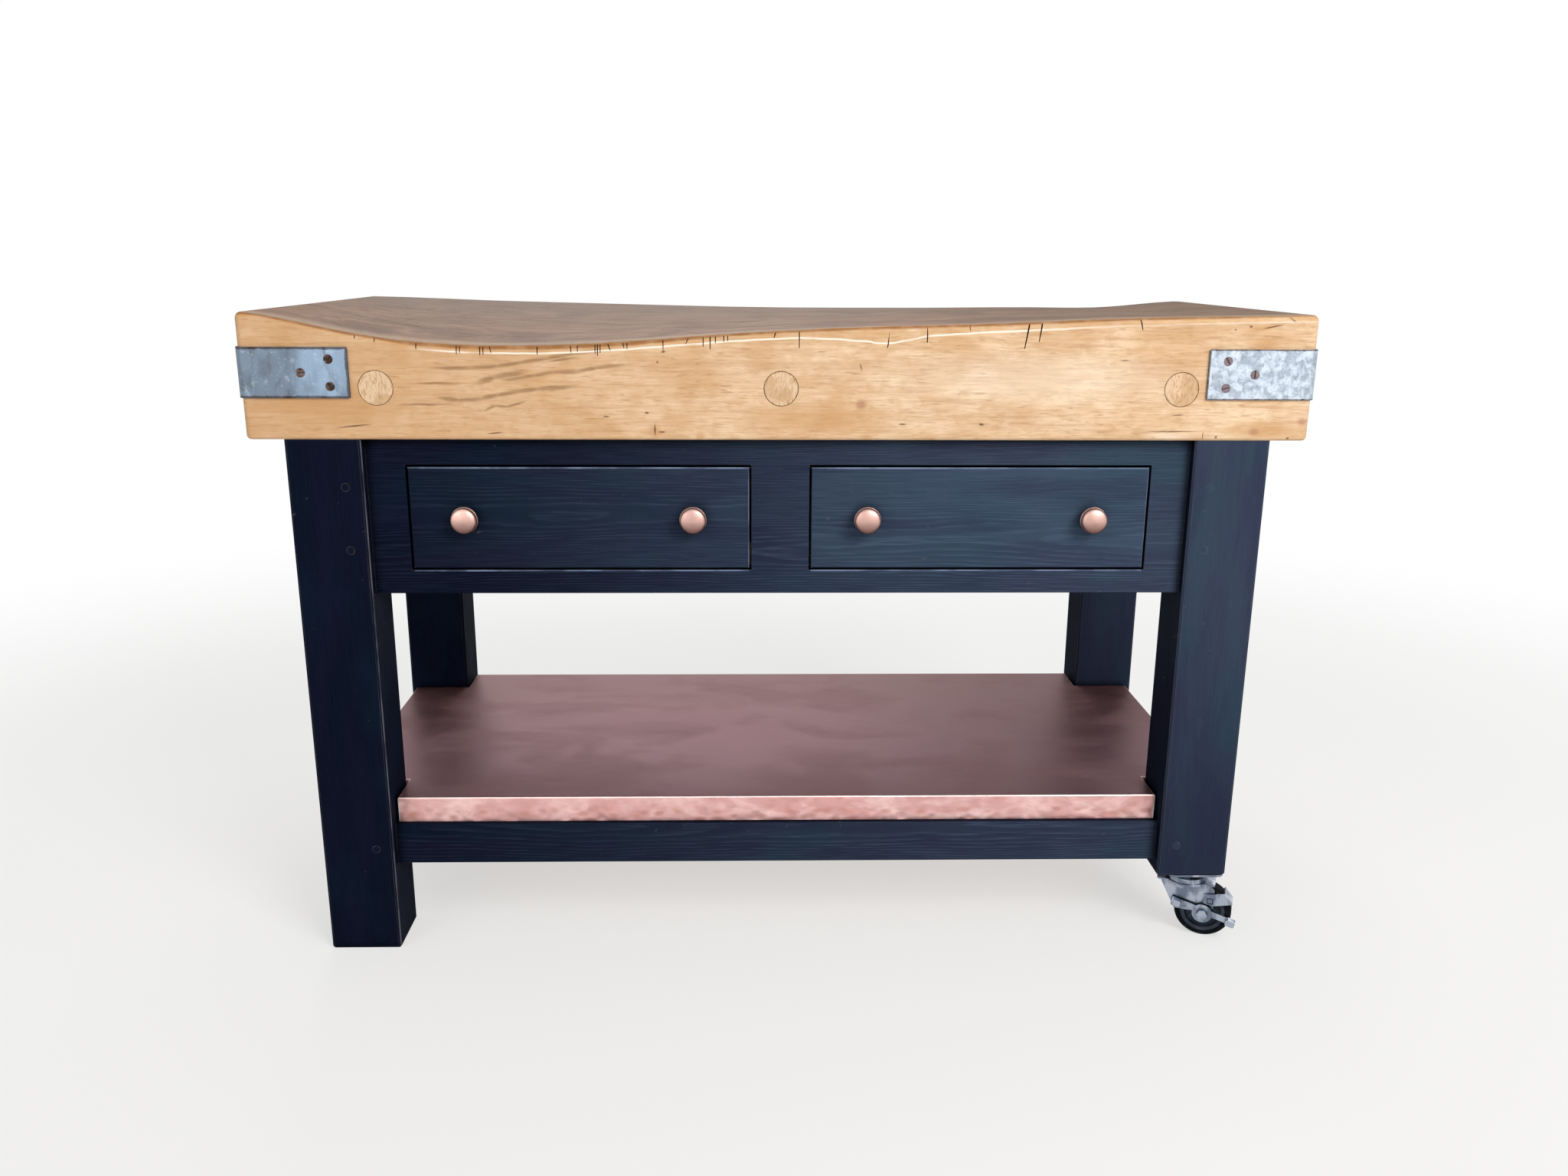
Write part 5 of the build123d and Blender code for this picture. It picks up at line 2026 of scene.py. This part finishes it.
    def dress_plugs(self) -> None:
        """Puts the end grain on the plugs."""
        low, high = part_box("tie_rod_plugs")
        radius = (high.z - low.z) / 2
        spacing = (high.x - low.x) / 2 - radius
        middle_z = (low.z + high.z) / 2
        finish = PlugWood(name="plug_end_grain", spacing=spacing, centre_z=middle_z, radius=radius)
        wear("tie_rod_plugs", finish)

    def edge_height(self, surface: BVHTree, x: float) -> float:
        """Finds the top of the front stave just behind its front edge.

        Args:
            surface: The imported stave.
            x: Where along the block, in millimetres.

        Returns:
            The height, in metres.
        """
        low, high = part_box("front_stave")
        inset = self.edge_inset * MM
        inside = min(max(x * MM, low.x + inset), high.x - inset)
        start = Vector((inside, low.y + inset, high.z + self.probe_rise * MM))
        return surface.ray_cast(start, Vector((0.0, 0.0, -1.0)))[0].z

    def scallop_cutter(self, surface: BVHTree) -> bpy.types.Object:
        """Makes the wedge that wears a scallop into the front edge.

        Args:
            surface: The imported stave.

        Returns:
            The cutter.
        """
        front_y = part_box("front_stave")[0].y
        first, last = self.scallop
        count = round((last - first) / self.scallop_step)
        rows = []
        for step in range(count + 1):
            x = first + (last - first) * step / count
            drop = ease_between(self.worn_drop, x) * MM
            top = self.edge_height(surface, x)
            slope = Vector((0.0, drop * self.scallop_share, drop)).normalized()
            outward = Vector((0.0, -slope.z, slope.y))
            margin, out = slope * self.scallop_margin * MM, outward * self.scallop_cut * MM
            lower = Vector((x * MM, front_y, top - drop)) - margin
            upper = Vector((x * MM, front_y + drop * self.scallop_share, top)) + margin
            rows.append([lower, upper, upper + out, lower + out])
        shape = bmesh.new()
        add_prism(shape, rows, 0)
        return shape_piece("scallop_cutter", shape)

    def nick_cutter(self, surface: BVHTree) -> bpy.types.Object:
        """Makes the thin wedges that cut the knife nicks.

        Args:
            surface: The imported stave.

        Returns:
            The cutter.
        """
        front_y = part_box("front_stave")[0].y
        shape = bmesh.new()
        for nick in self.nicks:
            head = self.edge_height(surface, nick.x) / MM - self.nick_drop
            rows = []
            for x, z, share in ((nick.x + nick.lean, nick.low_z, self.nick_foot), (nick.x, head, 1.0)):
                half = nick.half_width(share)
                outer_y = front_y - self.nick_proud * MM
                inner_y = front_y + nick.depth_at(share, self.nick_depth) * MM
                sides = ((x - half, outer_y), (x + half, outer_y), (x, inner_y))
                rows.append([Vector((side_x * MM, y, z * MM)) for side_x, y in sides])
            add_prism(shape, rows, 1)
        return shape_piece("nick_cutter", shape)


@dataclass
class BaseFrame:
    """The stained legs, aprons and rails, their pegs, and the bare boards that guide the drawers.

    The arrises and the sill's drop are in millimetres, the start of the painted light in metres.
    """

    sides: tuple[str, ...] = ("left", "right")
    ends: tuple[str, ...] = ("front", "rear")
    leg_lines: float = 0.35
    # How much of the painted light the legs keep low down.
    leg_low_share: float = 0.5
    # The leg whose rubbed inner arris also carries a painted highlight, and its colour.
    rubbed_leg: str = "front_left_leg"
    rubbed_arris: Colour = tint(100, 100, 108)
    peg_rubs: EdgeWear = EdgeWear(1.8 * MM, 100.0, 0.95, 1.1, share=0.28)
    leg_arris: float = 1.3
    sill_arris: float = 2.0
    sill_drop: float = 2.5
    # Where the painted light on the front apron starts along the block, in metres.
    apron_fade_from: float = -0.46

    def dress(self) -> None:
        """Puts the stain on the frame and bare pine inside it."""
        for end in self.ends:
            for side in self.sides:
                node = f"{end}_{side}_leg"
                plain = stained(node, GrainRun.ALONG_Z)
                leg = replace(plain, line_share=self.leg_lines, low_share=self.leg_low_share)
                if node == self.rubbed_leg:
                    leg = replace(leg, glints=(self.inner_arris(node),), glint=self.rubbed_arris)
                wear(node, leg)
            rail = f"{end}_lower_rail"
            wear(rail, stained(rail, GrainRun.ALONG_X))
        sills = tuple(self.sill(side) for side in self.sides)
        apron = stained("front_apron", GrainRun.ALONG_X)
        wear("front_apron", replace(apron, fade_from=self.apron_fade_from, glints=sills))
        wear("rear_apron", stained("rear_apron", GrainRun.ALONG_X))
        for side in self.sides:
            for node in (f"{side}_apron", f"{side}_lower_rail"):
                wear(node, stained(node, GrainRun.ALONG_Y))
        pegs = stained("tenon_pegs", GrainRun.ALONG_Y)
        wear("tenon_pegs", replace(pegs, rubs=self.peg_rubs))
        for node in ("drawer_runners", "kickers"):
            wear(node, bare(node, GrainRun.ALONG_Y))
        wear("drawer_stops", bare("drawer_stops", GrainRun.ALONG_X))

    def inner_arris(self, leg: str) -> Glint:
        """Gives the rubbed arris of a left leg on the side of the drawers, with a painted highlight."""
        low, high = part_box(leg)
        return Glint((high.x - self.leg_arris * MM, high.x), (low.z, high.z))

    def sill(self, side: str) -> Glint:
        """Gives the painted highlight along the arris of the apron under a drawer.

        Args:
            side: The drawer's side.

        Returns:
            The highlight.
        """
        low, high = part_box(f"{side}_drawer_front")
        top = low.z - self.sill_drop * MM
        return Glint((low.x, high.x), (top - self.sill_arris * MM, top))


@dataclass(frozen=True)
class HammerDent:
    """One hammer dent in an upright copper edge, in metres."""

    along: float
    z: float
    radius: float
    depth: float

    def depth_at(self, along: float, z: float) -> float:
        """Gives the depth of the dent at a place on the edge."""
        away = math.hypot(along - self.along, z - self.z) / self.radius
        return self.depth * (1 - away * away) ** 2 if away < 1 else 0.0


@dataclass
class CopperShelf:
    """The shelf board and the hammered copper folded over it; lengths in millimetres."""

    dents_per_metre: float = 300.0
    dent_radius: Span = (5.0, 10.0)
    dent_depth: Span = (0.2, 0.7)
    deepest: float = 0.9
    cut_step: float = 3.2
    still_rim: float = 3.5

    def build(self) -> None:
        """Hammers the four upright edges of a copy of the copper cover."""
        mesh = copy_mesh("copper_cover", self.finish())
        with opened(mesh) as shape:
            for outward in (Vector((0, -1, 0)), Vector((0, 1, 0)), Vector((-1, 0, 0)), Vector((1, 0, 0))):
                self.hammer(shape, outward)
        cover = new_piece("copper_cover_hammered", mesh)
        shade_smooth(cover)
        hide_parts("copper_cover")
        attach(cover, "frame")
        LOG.info("copper_cover_hammered has %d faces", len(mesh.polygons))

    def hammer(self, shape: bmesh.types.BMesh, outward: Vector) -> None:
        """Divides one upright edge of the cover finely and dents it.

        Args:
            shape: The cover.
            outward: The way that the edge faces.
        """
        low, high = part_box("copper_cover")
        plane = max(corner.dot(outward) for corner in (low, high))
        run = Vector((abs(outward.y), abs(outward.x), 0))
        faces = [
            face
            for face in shape.faces
            if face.normal.dot(outward) > SAME_FACING
            and abs(face.calc_center_median().dot(outward) - plane) < PLANE_REACH
        ]
        corners = [vert.co for face in faces for vert in face.verts]
        pieces = parts_of(faces)
        spans = []
        for axis in (run, Vector((0, 0, 1))):
            places = [corner.dot(axis) for corner in corners]
            first, last = min(places), max(places)
            spans.append((first, last))
            count = max(round((last - first) / (self.cut_step * MM)), 2)
            for step in range(1, count):
                point = axis * (first + (last - first) * step / count)
                where = {"plane_co": point, "plane_no": axis}
                pieces = bmesh.ops.bisect_plane(shape, geom=pieces, dist=CUT_REACH, **where)["geom"]
        dents = self.dents(spans, random.Random(str(tuple(outward))))
        foot, top = spans[1]
        for vert in (item for item in pieces if isinstance(item, bmesh.types.BMVert)):
            along = vert.co.dot(run)
            inset = min(top - vert.co.z, vert.co.z - foot) / (self.still_rim * MM)
            share = min(max(inset, 0.0), 1.0)
            near = [dent for dent in dents if abs(dent.along - along) < dent.radius]
            sunk = sum(dent.depth_at(along, vert.co.z) for dent in near)
            vert.co -= outward * min(sunk, self.deepest * MM) * share

    def dents(self, spans: Sequence[Span], draw: random.Random) -> list[HammerDent]:
        """Scatters dents over one edge.

        Args:
            spans: The edge's reach along its run and in height, in metres.
            draw: Where the chances come from.

        Returns:
            The dents.
        """
        (start, end), (foot, top) = spans
        count = round((end - start) * self.dents_per_metre)
        return [
            HammerDent(
                draw.uniform(start, end),
                draw.triangular(foot, top, foot + (top - foot) / 3),
                draw.uniform(*self.dent_radius) * MM,
                draw.uniform(*self.dent_depth) * MM,
            )
            for _ in range(count)
        ]

    @staticmethod
    def finish() -> AgedCopper:
        """Makes the copper's finish."""
        front_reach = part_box("front_right_leg")[0].x
        low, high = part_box("copper_cover")
        middle = (low.z + high.z) / 2
        return AgedCopper(name="aged_copper", front_reach=front_reach, front_y=low.y, edge_middle=middle)

    def dress(self) -> None:
        """Puts the copper on the cover and bare pine on the board."""
        wear("copper_cover", self.finish())
        wear("shelf_board", bare("shelf_board", GrainRun.ALONG_X))


@dataclass
class Drawer:
    """One drawer, with its stained front, its bare box and its copper knobs; lengths in millimetres."""

    side: str
    panel_light: Colour = tint(208, 170, 122)
    panel_dark: Colour = tint(168, 124, 80)
    # Lit colour of the stain on the drawer front, where the painted light falls.
    faded: Colour = tint(61, 76, 95)
    top_arris: float = 2.4
    side_arris: float = 1.2
    knob_profile: tuple[Span, ...] = (
        (0.0, 11.0), (2.2, 11.0), (2.8, 7.7), (8.4, 7.5), (11.4, 9.4), (13.5, 13.8), (14.5, 17.2),
        (15.0, 17.9), (16.8, 17.9), (17.4, 17.5), (17.5, 17.2), (21.4, 17.1), (23.6, 16.4),
        (25.1, 14.9), (26.2, 12.2), (27.1, 8.8), (27.8, 4.4),
    )
    knob_sides: int = 56
    knob_angle: float = 40.0

    def build(self) -> None:
        """Turns the drawer's two knobs, with a flat dome proud of a rim."""
        node = f"{self.side}_drawer_knobs"
        low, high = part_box(node)
        radius = (high.z - low.z) / 2
        shape = bmesh.new()
        for x in (low.x + radius, high.x - radius):
            self.turn_knob(shape, Vector((x, high.y, (low.z + high.z) / 2)), high.y - low.y)
        knobs = shape_piece(f"{node}_turned", shape)
        knobs.data.materials.append(KnobCopper(name="knob_copper").material())
        shade_smooth(knobs, self.knob_angle)
        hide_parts(node)
        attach(knobs, f"{self.side}_drawer")
        LOG.info("%s has %d faces", knobs.name, len(knobs.data.polygons))

    def arrises(self, front: str) -> tuple[Glint, ...]:
        """Gives the painted highlights along the top and down the right side of the drawer front.

        Args:
            front: The node of the drawer front.

        Returns:
            The highlights.
        """
        low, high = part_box(front)
        return (
            Glint((low.x, high.x), (high.z - self.top_arris * MM, high.z)),
            Glint((high.x - self.side_arris * MM, high.x), (low.z, high.z)),
        )

    def turn_knob(self, shape: bmesh.types.BMesh, seat: Vector, reach: float) -> None:
        """Adds one turned knob.

        Args:
            shape: The shape that it is added to.
            seat: The middle of its foot, on the drawer front.
            reach: How far it stands out.
        """
        turns = round_turn(self.knob_sides)
        rings = [
            [
                shape.verts.new(seat + Vector((radius * math.cos(t), -out, radius * math.sin(t))) * MM)
                for t in turns
            ]
            for out, radius in self.knob_profile
        ]
        crown = shape.verts.new(seat - Vector((0.0, reach, 0.0)))
        faces = [shape.faces.new(rings[0])]
        for side in range(self.knob_sides):
            after = (side + 1) % self.knob_sides
            for ring, outer in zip(rings, rings[1:]):
                faces.append(shape.faces.new((ring[side], ring[after], outer[after], outer[side])))
            faces.append(shape.faces.new((rings[-1][side], rings[-1][after], crown)))
        bmesh.ops.recalc_face_normals(shape, faces=faces)

    def dress(self) -> None:
        """Puts the finishes on the drawer's pieces."""
        front = f"{self.side}_drawer_front"
        wear(front, replace(stained(front, GrainRun.ALONG_X), faded=self.faded, glints=self.arrises(front)))
        for part, run in (("sides", GrainRun.ALONG_Y), ("back", GrainRun.ALONG_X)):
            node = f"{self.side}_drawer_{part}"
            wear(node, bare(node, run))
        bottom = f"{self.side}_drawer_bottom"
        panel = bare(bottom, GrainRun.ALONG_X)
        wear(bottom, replace(panel, light=self.panel_light, dark=self.panel_dark))
        wear(f"{self.side}_drawer_knobs", KnobCopper(name="knob_copper"))
        wear(f"{self.side}_drawer_knob_screws", RustySteel(name="rusty_steel"))


@dataclass
class Caster:
    """One braked caster, from its fork to its tyre."""

    end: str

    def dress(self) -> None:
        """Puts the finishes on the caster's pieces."""
        zinc = ZincPlate(name="zinc_plate")
        for part in ("fork", "brake_lever", "brake_shoe", "axle_bolt", "axle_bush"):
            wear(f"{self.end}_caster_{part}", zinc)
        rubber = Moulded(
            name="tyre_rubber_black",
            roughness=0.55,
            specular=0.03,
            skin=tint(12, 14, 19),
            scuff=tint(40, 42, 47),
        )
        nylon = Moulded(
            name="hub_nylon_grey",
            roughness=0.4,
            specular=0.12,
            skin=tint(46, 54, 66),
            scuff=tint(92, 104, 118),
        )
        wear(f"{self.end}_caster_tyre", rubber)
        wear(f"{self.end}_caster_hub", nylon)


@dataclass
class CasterPlates:
    """What holds both casters to the right legs."""

    ball_light: Colour = tint(196, 198, 202)

    def dress(self) -> None:
        """Puts the plating on the plates, the kingpins and the screws, and plain steel on the balls."""
        wear_all(("caster_plates", "swivel_kingpins", "caster_plate_screws"), ZincPlate(name="zinc_plate"))
        wear("swivel_balls", ZincPlate(name="ball_steel_bright", light=self.ball_light))


@dataclass(frozen=True)
class SoftLamp:
    """One square studio lamp."""

    name: str
    place: Triple
    size: float
    watts: float


@dataclass
class Studio:
    """The pale floor, the soft lamps and the white surroundings."""

    sky_level: float = 0.36
    floor_rings: tuple[float, ...] = (0.6, 1.2, 2.0, 3.2, 5.0, 9.0)
    floor_sides: int = 64
    fade_start: float = 1.2
    fade_end: float = 3.0
    near_white: float = 0.58
    floor_colour: Colour = tint(244, 243, 241)
    floor_roughness: float = 0.75
    floor_specular: float = 0.15
    aim: Triple = (0.0, 0.0, 0.5)
    lamps: tuple[SoftLamp, ...] = (
        SoftLamp("key_lamp", (1.9, -3.0, 2.6), 1.8, 98.0),
        SoftLamp("fill_lamp", (-2.6, -3.2, 1.8), 2.2, 28.0),
        SoftLamp("rear_lamp", (-0.4, 2.6, 2.6), 2.0, 34.0),
    )

    def build(self) -> None:
        """Makes the surroundings, the lamps and the floor."""
        self.surround()
        for lamp in self.lamps:
            self.light(lamp)
        floor = shape_piece("studio_floor", self.floor_shape())
        floor.data.materials.append(self.floor_material())
        LOG.info("studio has %d lamps", len(self.lamps))

    @staticmethod
    def backdrop_rays(graph: Graph) -> Socket:
        """Tells the rays that show the backdrop from the rays that carry light."""
        rays = graph.add("LightPath").outputs
        return graph.most([rays[f"Is {kind} Ray"] for kind in ("Camera", "Glossy", "Transmission")])

    def surround(self) -> None:
        """Makes the surroundings, white to look at and softer as a light."""
        world = bpy.data.worlds.new("studio_world")
        world.use_nodes = True
        bpy.context.scene.world = world
        graph = Graph(world.node_tree)
        background = world.node_tree.nodes["Background"]
        background.inputs["Color"].default_value = WHITE
        level = graph.spread(self.backdrop_rays(graph), 0.0, 1.0, start=self.sky_level, end=1.0)
        graph.feed(background.inputs["Strength"], level)

    def light(self, lamp: SoftLamp) -> None:
        """Hangs one lamp and points it at the block.

        Args:
            lamp: The lamp.
        """
        data = bpy.data.lights.new(lamp.name, "AREA")
        data.shape = "SQUARE"
        data.size = lamp.size
        data.energy = lamp.watts
        hung = bpy.data.objects.new(lamp.name, data)
        bpy.context.scene.collection.objects.link(hung)
        hung.location = lamp.place
        hung.rotation_euler = (Vector(self.aim) - hung.location).to_track_quat("-Z", "Y").to_euler()

    def floor_shape(self) -> bmesh.types.BMesh:
        """Makes the floor as rings round the block."""
        shape = bmesh.new()
        inner = [shape.verts.new((0.0, 0.0, 0.0))] * self.floor_sides
        for radius in self.floor_rings:
            places = [(radius * math.cos(t), radius * math.sin(t), 0.0) for t in round_turn(self.floor_sides)]
            outer = [shape.verts.new(place) for place in places]
            for side in range(self.floor_sides):
                after = (side + 1) % self.floor_sides
                corners = [inner[side], outer[side], outer[after], inner[after]]
                shape.faces.new(list(dict.fromkeys(corners)))
            inner = outer
        return shape

    def floor_material(self) -> bpy.types.Material:
        """Makes the pale floor, which fades to the white of the surroundings."""
        made = bpy.data.materials.new("studio_floor_pale")
        made.use_nodes = True
        graph = Graph(made.node_tree)
        shader = made.node_tree.nodes["Principled BSDF"]
        shader.inputs["Base Color"].default_value = self.floor_colour
        shader.inputs["Roughness"].default_value = self.floor_roughness
        shader.inputs["Specular IOR Level"].default_value = self.floor_specular
        reach = graph.length(graph.add("TexCoord").outputs["Object"])
        far = graph.spread(reach, self.fade_start, self.fade_end, start=self.near_white)
        white = graph.add("Emission", {"Color": WHITE, "Strength": 1.0})
        share = graph.times(far, self.backdrop_rays(graph))
        blend = graph.add("MixShader", {0: share, 1: shader.outputs[0], 2: white.outputs[0]})
        graph.feed(made.node_tree.nodes["Material Output"].inputs["Surface"], blend.outputs[0])
        return made


@dataclass(frozen=True)
class PhotoCamera:
    """The camera at the photograph's viewing angle; angles in radians, lens and sensor in millimetres."""

    place: Triple = (-0.038698, -1.977651, 0.965348)
    yaw: float = -0.0213007
    pitch: float = 0.2695113
    roll: float = 0.0043566
    lens: float = 29.774
    sensor: float = 36.0
    shift_x: float = 0.00396
    shift_y: float = 0.01421

    def build(self) -> None:
        """Sets the camera up and makes it the scene's camera."""
        data = bpy.data.cameras.new("photo_camera")
        data.sensor_width = self.sensor
        data.lens = self.lens
        data.shift_x = self.shift_x
        data.shift_y = self.shift_y
        camera = bpy.data.objects.new("photo_camera", data)
        bpy.context.scene.collection.objects.link(camera)
        look = Matrix.Rotation(math.pi / 2 - self.pitch, 3, "X")
        turn = Matrix.Rotation(self.yaw, 3, "Z") @ look @ Matrix.Rotation(self.roll, 3, "Z")
        camera.matrix_world = Matrix.Translation(self.place) @ turn.to_4x4()
        bpy.context.scene.camera = camera


def main() -> None:
    """Dresses the part piece by piece, then lights it and points the camera."""
    logging.basicConfig(level=logging.INFO, format="%(name)s: %(message)s")
    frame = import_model()
    LOG.info("%d packed nodes", len(frame["nodes"]))
    block = ChoppingBlock()
    block.build()
    block.dress()
    shelf = CopperShelf()
    drawers = [Drawer("left"), Drawer("right")]
    for shaped in (shelf, *drawers):
        shaped.build()
    for assembly in (
        BaseFrame(),
        shelf,
        *drawers,
        CasterPlates(),
        Caster("front"),
        Caster("rear"),
    ):
        assembly.dress()
    Studio().build()
    PhotoCamera().build()
    bpy.context.scene.view_settings.view_transform = "Standard"


if __name__ == "__main__":
    main()
